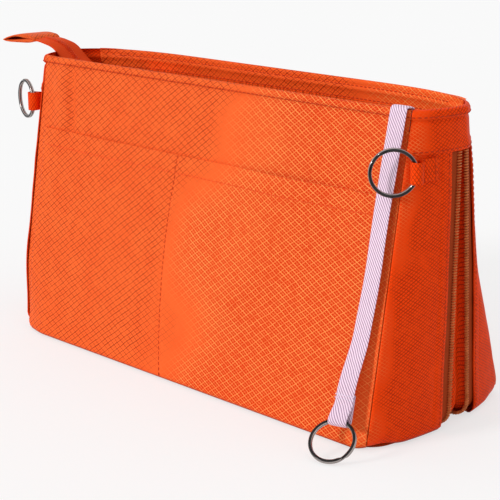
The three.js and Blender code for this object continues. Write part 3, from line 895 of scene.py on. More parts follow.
innerPocket("front", 1, frontY, frontSwell)
innerPocket("rear", -1, rearY, rearSwell)
print("walls made")

# Ends: two panels on each side of the expander zip, and a yoke over them
clothEdge = expander["clothEdge"]
endFront = endLine(frontSeamY, lambda z: foldY - clothEdge)
endRear = endLine(lambda z: rearChainY(z) + clothEdge, rearSeamY)
yokeRun = endLine(frontSeamY, rearSeamY)
endTop = top("right_end_front")
sides = (("right", 1), ("left", -1))


# Columns along an end, with the part of the front corner that its cloth covers
def sideColumns(stretch, count, side, withCorner):
    turn = pouch["panelTurn"] + 0.03
    if side > 0:
        corner = columns(frontCorner, turn, 0.96, 7) if withCorner else []
        return corner + columns(stretch, 0, 1, count)
    corner = columns(frontCorner, 0.96, turn, 7, -1) if withCorner else []
    return columns(stretch, 1, 0, count, -1) + corner


for name, side in sides:
    for part, stretch, count, cutShare in (("front", endFront, 30, 0.9), ("rear", endRear, 36, 0.5)):
        node = f"{name}_end_{part}"
        section = wallSection(0, endTop + expander["underYoke"], 2.2, 0, shell, footRound)
        run = sideColumns(stretch, count, side, part == "front")
        end = clothWall(f"{name}End{part.title()}", run, section, ripstopShadedEnd, endSwell, endSheenAndTone)
        settle(end, part + "_half", "ripstop", node)
        low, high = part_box(node)
    section = wallSection(pouch["yokeFoot"], rimZ, 1.2, 0, yokeForm["cloth"], rimLean)
    run = sideColumns(yokeRun, 60, side, True)
    yoke = clothWall(name + "Yoke", run, section, ripstopShadedEnd, yokeSwell, endSheenAndTone)
    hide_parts(name + "_yoke")
    giveAcrossFold(yoke, *yokeForm["give"])

# Base: cloth, board and lining in each half
baseForm = {
    "endRoom": 4.3,
    "flat": 2 * half + 8,
    "corner": {"front": 12.0, "rear": 7.0},
    "leftInset": {"front": 7.0, "rear": 3.5},      # the left corners are drawn in by this
    "layers": (                                    # foot, thickness, finish, slot, inset at the edge
        ("panel", 0, 0.8, ripstop, "ripstop", 0),
        ("board", 0.9, 2.2, board, "board", 4.5),
        ("lining", 3.2, 0.6, lining, "lining", 0)),
}
baseSpan = {
    "front": (frontY(0) + baseForm["endRoom"], foldY - clothEdge),
    "rear": (rearChainY(0) + clothEdge, rearY(0) - baseForm["endRoom"]),
}


def basePlate(name, part, low, thickness, material, inset):
    fromY, toY = baseSpan[part]
    ys = steps(fromY, toY, 40)

    def row(y, z):
        fromEdge = y - fromY if part == "front" else toY - y
        reach = sideX(min(y, rearY(0) - 0.2), 0) - baseForm["endRoom"] - inset
        right = reach - roundedOff(baseForm["corner"][part], fromEdge)
        left = right - baseForm["leftInset"][part] * smooth(30, 0, fromEdge)
        return [(mix(-left, right, t), y, z) for t in steps(0, 1, 80)]
    grid = [row(y, low) for y in ys] + [row(y, low + thickness) for y in ys[::-1]]
    return loopedMesh(name, grid, material, rearSheenAndTone)


for part, (fromY, toY) in baseSpan.items():
    for layer, low, thickness, material, slot, inset in baseForm["layers"]:
        plate = basePlate(f"base{part.title()}{layer.title()}", part, low, thickness, material, inset)
        settle(plate, part + "_half", slot, f"base_{part}_{layer}")
print("ends and base made")


# Rows of stitches, teeth and beads: one tree puts a bead at every pitch along a line
def beadTree():
    tree = bpy.data.node_groups.new("beadRow", "GeometryNodeTree")
    bench["tree"] = tree
    tree.interface.new_socket("Geometry", in_out="INPUT", socket_type="NodeSocketGeometry")
    for name in ("Pitch", "Length", "Width", "Height"):
        tree.interface.new_socket(name, in_out="INPUT", socket_type="NodeSocketFloat")
    tree.interface.new_socket("Finish", in_out="INPUT", socket_type="NodeSocketMaterial")
    tree.interface.new_socket("Geometry", in_out="OUTPUT", socket_type="NodeSocketGeometry")
    given = addNode("NodeGroupInput").outputs
    curve = addNode("GeometryNodeMeshToCurve")
    feedAll(curve, Mesh=given["Geometry"])
    spaced = addNode("GeometryNodeResampleCurve", mode="LENGTH")
    feedAll(spaced, Curve=curve.outputs["Curve"], Length=given["Pitch"])
    ball = addNode("GeometryNodeMeshUVSphere")
    feedAll(ball, Segments=8, Rings=5, Radius=0.5)
    size = addNode("ShaderNodeCombineXYZ")
    feedAll(size, X=given["Length"], Y=given["Width"], Z=given["Height"])
    shaped = addNode("GeometryNodeTransform")
    feedAll(shaped, Geometry=ball.outputs["Mesh"], Scale=size.outputs[0])
    outward = addNode("GeometryNodeInputNamedAttribute", data_type="FLOAT_VECTOR")
    outward.inputs["Name"].default_value = "outward"
    turn = addNode("FunctionNodeAxesToRotation", primary_axis="X", secondary_axis="Z")
    feed(addNode("GeometryNodeInputTangent").outputs[0], turn.inputs[0])
    feed(outward.outputs[0], turn.inputs[1])
    place = addNode("GeometryNodeInstanceOnPoints")
    feedAll(place, Points=spaced.outputs["Curve"], Instance=shaped.outputs["Geometry"])
    feedAll(place, Rotation=turn.outputs[0])
    real = addNode("GeometryNodeRealizeInstances")
    feedAll(real, Geometry=place.outputs["Instances"])
    soft = addNode("GeometryNodeSetShadeSmooth")
    feedAll(soft, Geometry=real.outputs["Geometry"])
    paint = addNode("GeometryNodeSetMaterial")
    feedAll(paint, Geometry=soft.outputs["Geometry"], Material=given["Finish"])
    feedAll(addNode("NodeGroupOutput"), Geometry=paint.outputs["Geometry"])
    return tree


beads = beadTree()


# lines: lists of (point, outward) in millimetres; size: length, width, height of one bead
def beadRow(name, lines, pitch, size, material):
    points, edges, outs = [], [], []
    for line in lines:
        start = len(points)
        points += [Vector(p) * mm for p, _ in line]
        outs += [Vector(o).normalized() for _, o in line]
        edges += [(start + i, start + i + 1) for i in range(len(line) - 1)]
    mesh = bpy.data.meshes.new(name + "Line")
    mesh.from_pydata(points, edges, [])
    attribute = mesh.attributes.new("outward", "FLOAT_VECTOR", "POINT")
    attribute.data.foreach_set("vector", np.array(outs, np.float32).ravel())
    line = bpy.data.objects.new(name + "Line", mesh)
    bpy.context.scene.collection.objects.link(line)
    modifier = line.modifiers.new("beads", "NODES")
    modifier.node_group = beads
    measures = [value * mm for value in (pitch, *size)]
    values = dict(zip(("Pitch", "Length", "Width", "Height"), measures), Finish=material)
    for item in beads.interface.items_tree:
        if item.in_out == "INPUT" and item.name in values:
            modifier[item.identifier] = values[item.name]
    ready = line.evaluated_get(bpy.context.evaluated_depsgraph_get())
    made = bpy.data.meshes.new_from_object(ready)
    made.name = name
    line.modifiers.remove(modifier)
    bpy.data.objects.remove(line)
    if "outward" in made.attributes:
        made.attributes.remove(made.attributes["outward"])
    row = bpy.data.objects.new(name, made)
    bpy.context.scene.collection.objects.link(row)
    return row


stitch = {
    "pitch": 3.0,
    "size": (2.3, 0.7, 0.5),
    "proud": 0.05,
    "belowRim": 3.6,
    "aboveEdge": 1.4,              # on the facings
    "fromZip": 1.8,
    "inside": 3.85,                # depth of the facings' inner face
}


def stitches(name, lines, body, material=thread):
    row = beadRow(name, lines, stitch["pitch"], stitch["size"], material)
    if body:
        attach(row, body)
    return row


# A line along a wall at one height, over its outer or its inner face
def overWall(wall, z, depth, swell):
    line = []
    for column in wall:
        x, y, ix, iy = onOutline(column, z)
        d = depth - swell(x, y, z)
        line.append(((x + ix * d, y + iy * d, z), (-ix, -iy, 0) if depth < 1 else (ix, iy, 0)))
    return line


def dividerLine():
    line = []
    for z in steps(3, pocketForm["height"] - 1, 60):
        x = dividerX(z)
        y = frontY(z) + layers["pocket"] - stitch["proud"] - hemProud(z) - pocketSwell(x, frontY(z), z)
        line.append(((x, y, z), (0, -1, 0.17)))
    return line


# Up the edge of an end panel beside the zip
def zipEdgeLine(stretch, atEnd, side):
    line = []
    for z in steps(5, endTop - 1, 60):
        share = stitch["fromZip"] / (stretch(1, z)[1] - stretch(0, z)[1])
        x, y, ix, iy = onOutline((stretch, 1 - share if atEnd else share, side, side), z)
        d = footRound(z) - stitch["proud"] - endSwell(x, y, z)
        line.append(((x + ix * d, y + iy * d, z), (-ix, -iy, 0)))
    return line


onFace = -stitch["proud"]
rimStitchZ = rimZ - stitch["belowRim"]
facingStitchZ = facingFoot + stitch["aboveEdge"]
pocketFace = layers["pocket"] - pocketForm["hemProud"] - stitch["proud"]
hemZ = pocketForm["height"] - pocketForm["hem"] + 0.9
rearHemZ = rearPocketTop - pocketForm["hem"] + 1
stitches("frontRimStitches", [overWall(frontWall[1:-1], rimStitchZ, onFace, frontSwell)], "front_half")
stitches("rearRimStitches", [
    overWall(rearWall[1:-1], rimStitchZ, onFace, rearSwell),
    overWall(rearInner[1:-1], rimStitchZ, stitch["inside"], rearSwell),
    overWall(rearInner[1:-1], facingStitchZ, stitch["inside"], rearSwell)], "rear_half")
stitches("frontFacingStitches", [
    overWall(frontInner[1:-1], rimStitchZ, stitch["inside"], frontSwell),
    overWall(frontInner[1:-1], facingStitchZ, stitch["inside"], frontSwell)], "front_half")
hemLine = overWall(pocketWall[3:-4], hemZ, pocketFace, pocketSwell)
stitches("pocketHemStitches", [hemLine], "front_half", softThread)
stitches("dividerStitches", [dividerLine()], "front_half")
stitches("rearPocketStitches", [overWall(rearInner[3:-3], rearHemZ, pocketFace, rearSwell)], "rear_half")
for name, side in sides:
    run = sideColumns(yokeRun, 60, side, True)[1:-1]
    row = stitches(name + "YokeStitches", [
        overWall(run, pouch["yokeFoot"] + 1.6, onFace, yokeSwell),
        overWall(run, rimStitchZ, onFace, yokeSwell)], None)
    giveAcrossFold(row, *yokeForm["give"])
    stitches(name + "EndFrontStitches", [zipEdgeLine(endFront, True, side)], "front_half")
    stitches(name + "EndRearStitches", [zipEdgeLine(endRear, False, side)], "rear_half")
print("stitches sewn")


# Expander zip: down one end, under the base and up the other
def wrapStations():
    radius = expander["turnRadius"]
    down = [(z, 0.0) for z in steps(pouch["yokeFoot"] + expander["underYoke"], radius, 66)]
    down += [(radius * (1 - math.sin(a)), a) for a in steps(0, math.pi / 2, 10)[1:]]
    left = [(z, turn, -1.0) for z, turn in down]
    under = [(0.0, math.pi / 2, share) for share in steps(-1, 1, 90)[1:-1]]
    return left + under + [(z, turn, 1.0) for z, turn in down[::-1]]


# A point of the wrap at a depth below the cloth, and outwards from it
def wrapPoint(station, yAt, depth):
    z, turn, share = station
    y = yAt(z)
    if turn == 0:
        return (share * (sideX(y, z) - depth), y, z), (share, 0, 0)
    bendZ = expander["turnRadius"]
    radius = bendZ - depth
    x = sideX(y, bendZ) - bendZ + radius * math.cos(turn)
    return (share * x, y, bendZ - radius * math.sin(turn)), (share * math.cos(turn), 0, -math.sin(turn))


def fromFront(offset):
    return lambda z: foldY - offset


def fromRear(offset):
    return lambda z: rearChainY(z) + offset


def wrapRow(yAt, depth):
    return [wrapPoint(station, yAt, depth)[0] for station in wrapRun]


wrapRun = wrapStations()
tapeDepth = expander["tapeDepth"]
for part, chain in (("front", fromFront), ("rear", fromRear)):
    across = steps(expander["chainEdge"] + expander["tapeWidth"], expander["chainEdge"], 8)
    profile = [(offset, tapeDepth - 0.12 * hump(offset, across[-1], 0.8)) for offset in across]
    profile += [(offset, tapeDepth + expander["tapeThickness"]) for offset in across[::-1]]
    rows = [wrapRow(chain(offset), depth) for offset, depth in profile]
    tape = loopedMesh(part + "ExpanderTape", rows, zipTape)
    settle(tape, part + "_half", "zip_tape", part + "_expander_tape")
    line = [wrapPoint(station, chain(expander["toothPlace"]), 0.45) for station in wrapRun[1:-1]]
    teeth = beadRow(part + "ExpanderTeeth", [line], expander["toothPitch"], expander["tooth"], coilNylon)
    settle(teeth, part + "_half", "zip_coil", part + "_expander_coil")

gusset = {
    "edge": 8.6,
    "flange": 1.6,
    "start": 5.0,
    "depth": 3.4,
    "pleat": 2.3,
    "crumple": 1.3,
    "cloth": 0.5,
    "sliderRoom": 3.2,             # deeper along the left end, where the slider runs
    "flat": 32,
    "give": (2, 15),
}


# Depth of the pleated cloth at a share of the way across, at the k-th station
def pleatDepth(k, station, t, room):
    z, turn, share = station
    edge = smooth(0, 0.14, t) * smooth(1, 0.86, t)
    fold = 0.5 + 0.5 * math.cos(4 * math.pi * t + math.pi)
    depth = mix(gusset["flange"], gusset["depth"], edge)
    depth += gusset["pleat"] * fold * (0.45 + 0.55 * room) * edge
    if share < 0 and turn == 0:
        depth += gusset["sliderRoom"] * edge
    depth += gusset["crumple"] * edge * noise.noise(Vector((k * 0.13, t * 3.5, 4.2)))
    return mix(depth, gusset["flange"], smooth(pouch["yokeFoot"] - 6, pouch["yokeFoot"] + 1, z))


def gussetRows(extra):
    flange = gusset["flange"] + extra
    start = gusset["start"]
    rows = [wrapRow(fromFront(offset), flange) for offset in steps(gusset["edge"], start, 5)]
    for t in steps(0, 1, 26)[1:-1]:
        row = []
        for k, station in enumerate(wrapRun):
            y0, y1 = foldY - start, rearChainY(station[0]) + start
            depth = pleatDepth(k, station, t, (y1 - y0) / (pouch["gap"] + 2 * start))
            y = mix(y0, y1, t)
            row.append(wrapPoint(station, lambda z, y=y: y, depth + extra)[0])
        rows.append(row)
    return rows + [wrapRow(fromRear(offset), flange) for offset in steps(start, gusset["edge"], 5)]


rows = gussetRows(0) + gussetRows(gusset["cloth"])[::-1]
# Painted shade: the gusset takes the shaded end cloth and a low sheen value, so it is painted darker, as the
# shade between the chains
pleat = loopedMesh("expanderGusset", rows, ripstopShadedEnd, evenTone(0.3))
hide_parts("expander_gusset")
giveAcrossFold(pleat, *gusset["give"])
print("expander zip made")

# Top zip: flaps hang inside the mouth and meet at the slider by the left end
flap = {
    "reach": 107.0,
    "meet": 55.0,
    "drop": 22.0,
    "cloth": 0.5,
    "flat": 26,
    "gatherX": -82.0,              # the cloth bunches here, beside the slider
    "gatherWidth": 26.0,
    "gatherDrop": 3.4,
    "tape": 11.0,
    "teethPlace": 11.9,
    "teethApart": 2.4,
    "tooth": (0.98, 2.8, 1.5),
}
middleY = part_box("top_slider")[0].lerp(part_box("top_slider")[1], 0.5).y / mm
flapTop = innerTop


def rearFaceY(x, z):
    end, rear = cornerLegs(z)
    start = bulgedX(rearY(z) - end, z)
    if abs(x) <= half - rear:
        return rearY(z)
    square = start - half - rear
    slope = 2 * (half - start)
    t = (-slope - math.sqrt(slope ** 2 - 4 * square * (start - abs(x)))) / (2 * square)
    return rearY(z) - end * (1 - t) ** 2


def insideFaceY(side, x, z, depth):
    return frontY(z) + depth if side < 0 else rearFaceY(x, z) - depth


def tapeLine(side, x):
    apart = smooth(-flap["reach"], -flap["reach"] + flap["meet"], x)
    wallY = insideFaceY(side, x, flapTop - flap["drop"], layers["inside"] + 1.5)
    y = mix(middleY + side * flap["teethApart"], wallY, apart)
    return Vector((x, y, mix(flapTop - 0.3, flapTop - flap["drop"], apart)))


def flapPoint(side, x, share, lift):
    sewn = Vector((x, insideFaceY(side, x, flapTop, layers["inside"]), flapTop))
    spot = sewn.lerp(tapeLine(side, x), share)
    belly = math.sin(math.pi * share)
    gather = hump(x, flap["gatherX"], flap["gatherWidth"])
    fold = 1.5 * gather * math.sin(x * 0.42 + side) + 0.8 * ripple(x, spot.y, 0, 22, 6.1)
    spot.y -= side * belly * (1.6 * (1 - gather) + 0.35 * fold)
    spot.z += belly * gather * (0.7 * fold - flap["gatherDrop"])
    return spot + Vector((0, -side * lift, lift))


def flapTapePoint(side, x, drop, lift):
    wave = 0.35 * ripple(x, drop, side, 20, 3.4) * smooth(0, 6, drop)
    return tapeLine(side, x) + Vector((0, -side * (lift + wave), -drop))


flapRun = steps(-flap["reach"], flap["reach"], 120)


# Rows of a strip of the zip: its face, then its back
def flapRows(pointAt, side, places):
    rows = [[pointAt(side, x, place, 0) for x in flapRun] for place in places]
    return rows + [[pointAt(side, x, place, flap["cloth"]) for x in flapRun] for place in places[::-1]]


for part, side in (("front", -1), ("rear", 1)):
    cloth = loopedMesh(part + "ZipFlap", flapRows(flapPoint, side, steps(0, 1, 14)), ripstopShadedInside, rearSheenAndTone)
    settle(cloth, part + "_half", "ripstop", part + "_zip_flap")
    drops = steps(0.3, flap["tape"], 6)
    tape = loopedMesh(part + "TopTape", flapRows(flapTapePoint, side, drops), orangeTape)
    settle(tape, part + "_half", "zip_tape", part + "_top_tape")
    line = [(flapTapePoint(side, x, flap["teethPlace"], 0.5), (0, -side, 0)) for x in flapRun[1:-1]]
    teeth = beadRow(part + "TopTeeth", [line], expander["toothPitch"], flap["tooth"], orangeNylon)
    settle(teeth, part + "_half", "zip_coil", part + "_top_coil")
print("top zip made")


# Wires and small metal
def tube(name, path, up, halfWide, halfHigh, material, sides=10):
    points, faces, edges = [], [], []
    count = len(path)
    for i, spot in enumerate(path):
        ahead = path[min(i + 1, count - 1)] - path[max(i - 1, 0)]
        ahead.normalize()
        wide = ahead.cross(up).normalized()
        high = wide.cross(ahead)
        taper = min(1.0, 0.45 + 0.3 * min(i, count - 1 - i))
        for k in range(sides):
            a = 2 * math.pi * k / sides
            rim = wide * (halfWide * math.cos(a)) + high * (halfHigh * math.sin(a))
            points.append(spot + rim * taper)
            # wireEdge value: near 1 at the wire's sides, where the metal gets a painted reflection
            edges.append(abs(math.cos(a)))
    for i in range(count - 1):
        for k in range(sides):
            a, b = i * sides + k, i * sides + (k + 1) % sides
            faces.append((a, b, b + sides, a + sides))
    faces.append(tuple(range(sides))[::-1])
    faces.append(tuple((count - 1) * sides + k for k in range(sides)))
    return turnedOut(addObject(name, points, faces, material, None, edges, "wireEdge"))


jointOf = {joint["name"]: joint for joint in frame["joints"]}


def pivot(jointName):
    return Vector(jointOf[jointName]["pos_m"]) / mm


def axis(jointName):
    return Vector(jointOf[jointName]["axis"]).normalized()


splitRing = {"wire": 0.62, "radial": 0.95, "turnGap": 0.58, "step": 0.42, "points": 144, "share": 0.995}


# A split ring: two turns of flat wire that cross over beside the wire's ends
def ringPiece(name, node, seamAngle):
    low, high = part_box(node)
    centre = (low + high) / (2 * mm)
    toWire = pivot(node + "_swing") - centre
    along = axis(node + "_swing")
    reach = (toWire - along * toWire.dot(along)).normalized()
    normal = reach.cross(along).normalized()
    radius = toWire.length
    step = splitRing["step"]
    path = []
    for i in range(splitRing["points"] + 1):
        angle = 4 * math.pi * i / splitRing["points"] * splitRing["share"]
        turn = seamAngle + angle
        side = -1 + 2 * smooth(2 * math.pi - step, 2 * math.pi + step, angle)
        out = reach * math.cos(turn) + along * math.sin(turn)
        path.append(centre + out * radius + normal * (side * splitRing["turnGap"]))
    ring = tube(name, path, normal, splitRing["radial"], splitRing["wire"], metal, 12)
    settle(ring, node, "metal", node)


ringPiece("rightRing", "right_ring", 2.4)
ringPiece("leftRing", "left_ring", 2.0)
ringPiece("keyRing", "key_ring", 4.0)

# Cloth tabs that hold the corner rings: a strip folded round the wire, both ends sewn to the end panel
tabForm = {
    "width": 11.0,
    "bore": 2.6,
    "cloth": 0.75,
    "tail": 14.5,
    "proud": 0.35,
    "flat": 52,
    "sewnAt": (6.5, 12.6),
    "sewnReach": 4.6,
}


def ringTab(name, part, side):
    form = tabForm
    node = part + "_ring_tab"
    wire = pivot(part + "_ring_swing")
    across = axis(part + "_ring_swing")
    along = across.cross(Vector((1, 0, 0))).normalized()
    cloth = form["cloth"]
    outer = form["bore"] + cloth

    def spot(out, far, reach):
        return wire + Vector((side * out, 0, 0)) + along * far + across * reach

    def onEnd(far, reach):
        flat = spot(0, far, reach)
        seat = sideX(flat.y, flat.z) + endSwell(side * 140, flat.y, flat.z) + form["proud"]
        return seat - abs(wire.x)

    # Down the upper layer, round the wire and back along the lower one
    def layer(turn, upper, lower, reach):
        fars = steps(form["tail"], outer + 1.5, 7)
        loop = [spot(onEnd(far, reach) + upper + 0.05, far, reach) for far in fars]
        for angle in steps(math.pi / 3, -math.pi * 1.22, 22):
            loop.append(spot(turn * math.cos(angle), turn * math.sin(angle), reach))
        return loop + [spot(onEnd(far, reach) + lower, far, reach) for far in fars[::-1]]
    reaches = steps(-form["width"] / 2, form["width"] / 2, 10)
    outside = [layer(outer, 2 * cloth, 0.0, reach) for reach in reaches]
    inside = [layer(form["bore"], cloth, cloth, reach) for reach in reaches]
    rows = [list(row) for row in zip(*outside)] + [list(row) for row in zip(*inside)][::-1]
    tab = loopedMesh(name, rows, ripstopShadedEnd, evenTone(0.3))
    settle(tab, "front_half", "ripstop", node)
    sewn = []
    for far in form["sewnAt"]:
        sewn.append([(spot(onEnd(far, reach) + 2 * cloth + 0.12, far, reach), (side, 0, 0))
                     for reach in steps(-form["sewnReach"], form["sewnReach"], 8)])
    stitches(name + "Stitches", sewn, "front_half")


ringTab("rightRingTab", "right", 1)
ringTab("leftRingTab", "left", -1)
print("rings and tabs made")


# Elastic key strap: sewn inside the rim, laid over it, down the front and folded round the key ring
strap = {
    "width": 10.05,
    "thickness": 1.1,
    "length": 215,
    "rest": 2.0,                   # middle of the strap, out from the face
    "standOff": 8.0,
    "bore": 1.7,
    "foldBack": 14.0,
    "sewnFrom": 10.5,
    "settled": 45.0,
    "twist": math.radians(16),
    "topX": 135.6,
    "footX": 129.3,
    "inside": 4.65,
    "tail": 12.0,
    "kink": 0.9,
    "kinkRise": 72.0,
    "hinge": 8.0,                  # this far above and below its hinge
    "sewnAt": (11.6, 13.4),
    "sewnReach": 4.9,
    "sewnPitch": 1.5,
    "sewnSize": (1.2, 0.45, 0.4),
}
slope = math.atan2(pouch["lean"], rimZ)
upFace = Vector((0, math.sin(slope), math.cos(slope)))
outFace = Vector((0, -math.cos(slope), math.sin(slope)))
wireZ = pivot("key_ring_swing").z - strap["standOff"] * outFace.z
strapFoot = Vector((0, frontY(wireZ), wireZ))


def rounded(corners, share, count):
    path = [Vector(corners[0])]
    for before, corner, after in zip(corners, corners[1:], corners[2:]):
        before, corner, after = Vector(before), Vector(corner), Vector(after)
        reach = min(share, (corner - before).length * 0.5, (after - corner).length * 0.5)
        a = corner + (before - corner).normalized() * reach
        b = corner + (after - corner).normalized() * reach
        path += [a.lerp(corner, t).lerp(corner.lerp(b, t), t) for t in steps(0, 1, count)]
    path.append(Vector(corners[-1]))
    return path


# The strap's middle line as (rise up the face, distance out of it), from inside the rim to the fold's end
def strapLine():
    rest, settled, sewnFrom = strap["rest"], strap["settled"], strap["sewnFrom"]
    over = (rimZ - wireZ) / upFace.z + 0.3 + strap["thickness"]
    inside = -strap["inside"] * upFace.z
    wrap = strap["bore"] + strap["thickness"] / 2
    behind = strap["standOff"] - wrap
    front = behind + strap["thickness"] + 0.1
    line = rounded([(over - strap["tail"], inside), (over, inside), (over, rest), (over - 24, rest)], 2.2, 6)
    for rise in steps(over - 26, settled, 46):
        line.append(Vector((rise, rest)))
    for rise in steps(settled, sewnFrom, 16)[1:]:
        line.append(Vector((rise, mix(front, rest, smooth(strap["foldBack"], settled, rise)))))
    for rise in steps(sewnFrom, 0, 8)[1:-1]:
        line.append(Vector((rise, mix(front, strap["standOff"] + wrap, smooth(sewnFrom, 0, rise)))))
    for angle in steps(0, -math.pi, 18):
        line.append(Vector((wrap * math.sin(angle), strap["standOff"] + wrap * math.cos(angle))))
    for rise in steps(0, strap["foldBack"], 6)[1:]:
        line.append(Vector((rise, behind)))
    return line


def strapPlace(rise, out):
    z = wireZ + rise * upFace.z
    x = mix(strap["footX"], strap["topX"], (z - wireZ) / (rimZ - wireZ))
    x += strap["kink"] * hump(rise, strap["kinkRise"], 22) * smooth(0, 40, rise)
    spot = strapFoot + upFace * rise + outFace * out
    return Vector((x, spot.y, spot.z))


def strapAcross(rise):
    turn = strap["twist"] * max(0.0, 1 - rise / strap["settled"])
    turn += math.radians(3) * math.sin(rise * 0.05) * smooth(30, 60, rise) * smooth(140, 110, rise)
    return Vector((math.cos(turn), math.sin(turn), 0))


def strapMesh():
    line = strapLine()
    halfWide, halfThick = strap["width"] / 2, strap["thickness"] / 2
    reaches = [halfWide * math.sin(a) for a in steps(-math.pi / 2, math.pi / 2, 12)]
    over, under = [[] for _ in reaches], [[] for _ in reaches]
    for i, spot in enumerate(line):
        ahead = line[min(i + 1, len(line) - 1)] - line[max(i - 1, 0)]
        ahead.normalize()
        face = outFace * -ahead.x + upFace * ahead.y
        across = strapAcross(spot.x)
        middle = strapPlace(spot.x, spot.y)
        for k, reach in enumerate(reaches):
            thick = halfThick * (1 - (abs(reach) / halfWide) ** 6) ** 0.5
            over[k].append(middle + across * reach + face * thick)
            under[k].append(middle + across * reach - face * thick)
    return loopedMesh("keyStrap", over + under[::-1], elastic, None, True)


keyStrap = strapMesh()
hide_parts("key_strap", "key_strap_root")
hingeRise = (top("key_strap") - wireZ) / upFace.z
hingeStart = strapPlace(hingeRise + strap["hinge"], strap["rest"]) * mm
hingeEnd = strapPlace(hingeRise - strap["hinge"], strap["rest"]) * mm
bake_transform(keyStrap)
sewnFront = strap["standOff"] - strap["bore"] + strap["thickness"] + 0.12
foldRows = []
for rise in strap["sewnAt"]:
    across = strapAcross(rise)
    middle = strapPlace(rise, sewnFront)
    reaches = steps(-strap["sewnReach"], strap["sewnReach"], 10)
    foldRows.append([(middle + across * reach, outFace) for reach in reaches])
foldSewing = beadRow("keyStrapSewing", foldRows, strap["sewnPitch"], strap["sewnSize"], paleThread)
settle(foldSewing, "key_strap", "elastic")
print("key strap made")

# Tail of the top zip: it climbs out over the left end to a folded tab
tail = {
    "width": 19.5,
    "thickness": 0.8,
    "length": 66,
    "tooth": (0.9, 2.6, 1.7),
    "toothPlace": 0.85,
    "tabLength": 33.5,
    "tabWidth": 20.5,
    "drift": -7.5,
    "under": 8.0,
    "give": 9.0,                   # a length before its hinge
}
tailHinge = pivot("zip_tail_bend")
tailStart = Vector((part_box("top_slider")[0].x / mm - 0.3, middleY, flapTop))


def throughPoints(points, count):
    ends = [2 * points[0] - points[1]] + points + [2 * points[-1] - points[-2]]
    path = []
    for i in range(1, len(ends) - 2):
        p0, p1, p2, p3 = ends[i - 1:i + 3]
        for t in steps(0, 1, count)[:-1]:
            path.append(0.5 * (2 * p1 + (p2 - p0) * t + (2 * p0 - 5 * p1 + 4 * p2 - p3) * t * t
                               + (3 * p1 - p0 - 3 * p2 + p3) * t ** 3))
    return path + [points[-1]]


tailPath = throughPoints([
    tailStart,
    Vector((tailStart.x - 14, middleY - 1, flapTop + 0.8)),
    Vector((tailStart.x - 23, middleY - 3, flapTop + 6.5)),
    Vector((-151, middleY - 5, rimZ + 2.2)),
    Vector((-158, middleY + tail["drift"], tailHinge.z - 0.9)),
    tailHinge + Vector((0, tail["drift"], 0)),
    tailHinge + Vector((-tail["under"], tail["drift"], 0))], 9)


def tailNormal(i):
    ahead = tailPath[min(i + 1, len(tailPath) - 1)] - tailPath[max(i - 1, 0)]
    return Vector((ahead.z, 0, -ahead.x)).normalized()


def tailRow(reach, face):
    edge = 0.5 * abs(reach / (tail["width"] / 2)) ** 3
    groove = 0.35 * hump(reach, 0, 1.2)
    lift = face * tail["thickness"] / 2 - edge - groove
    return [spot + Vector((0, reach, 0)) + tailNormal(i) * lift for i, spot in enumerate(tailPath)]


def giveAtTail(piece):
    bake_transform(piece)


reaches = steps(-tail["width"] / 2, tail["width"] / 2, 28)
rows = [tailRow(r, 1) for r in reaches] + [tailRow(r, -1) for r in reaches[::-1]]
tailTape = loopedMesh("zipTailTape", rows, orangeTape)
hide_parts("zip_tail_tape")
giveAtTail(tailTape)
chains = []
for reach in (-tail["toothPlace"], tail["toothPlace"]):
    chains.append([(spot + Vector((0, reach, 0)) + tailNormal(i) * 0.45, tailNormal(i))
                   for i, spot in enumerate(tailPath[:-9])])
tailTeeth = beadRow("zipTailTeeth", chains, expander["toothPitch"], tail["tooth"], orangeNylon)
giveAtTail(tailTeeth)

# The tab is a strip folded over on itself, with a slit open between its layers: its outline and the slit's,
# as (distance from the hinge, height), drawn 40 long
tabOutline = [
    (0.3, 0.25), (2.8, 1.6), (7, 2.25), (12, 2.5), (20, 2.1), (28, 0.9), (34, -0.6), (38.2, -1.9),
    (40, -2.55), (38.6, -3.15), (35, -3.4), (28, -3.3), (20, -3.0), (12, -2.6),
    (7, -2.2), (2.8, -1.6), (0.3, -0.25)]
tabSlit = [
    (0.4, 0.06), (2.8, 0.1), (7, 0.2), (12, 0.3), (20, 0.62), (28, 0.1), (34, -1.3), (37.4, -2.45),
    (38.2, -2.65), (37.2, -2.75), (34.5, -2.5), (28, -2.1), (20, -1.3), (12, -0.5),
    (7, -0.2), (2.8, -0.1), (0.4, -0.06)]
tabReaches = steps(-tail["tabWidth"] / 2, tail["tabWidth"] / 2, 22)


def tabRow(far, up):
    row = []
    for reach in tabReaches:
        edge = abs(reach / (tail["tabWidth"] / 2))
        lift = 0.25 * ripple(far, reach, 0, 9, 2.8) * smooth(1, 6, far)
        spread = reach * (1 - 0.02 * smooth(34, 40, far))
        x = tailHinge.x - far * tail["tabLength"] / 40
        row.append((x, middleY + tail["drift"] + spread, tailHinge.z + up + lift - 0.15 * edge ** 4))
    return row


def tabRows(outline):
    return [tabRow(p.x, p.y) for p in throughPoints([Vector(p) for p in outline], 3)]


tailTab = loopedMesh("zipTailTab", tabRows(tabOutline) + tabRows(tabSlit)[::-1], ripstop, rearSheenAndTone)
settle(tailTab, "zip_tail", "ripstop", "zip_tail_tab")
print("zip tail made")


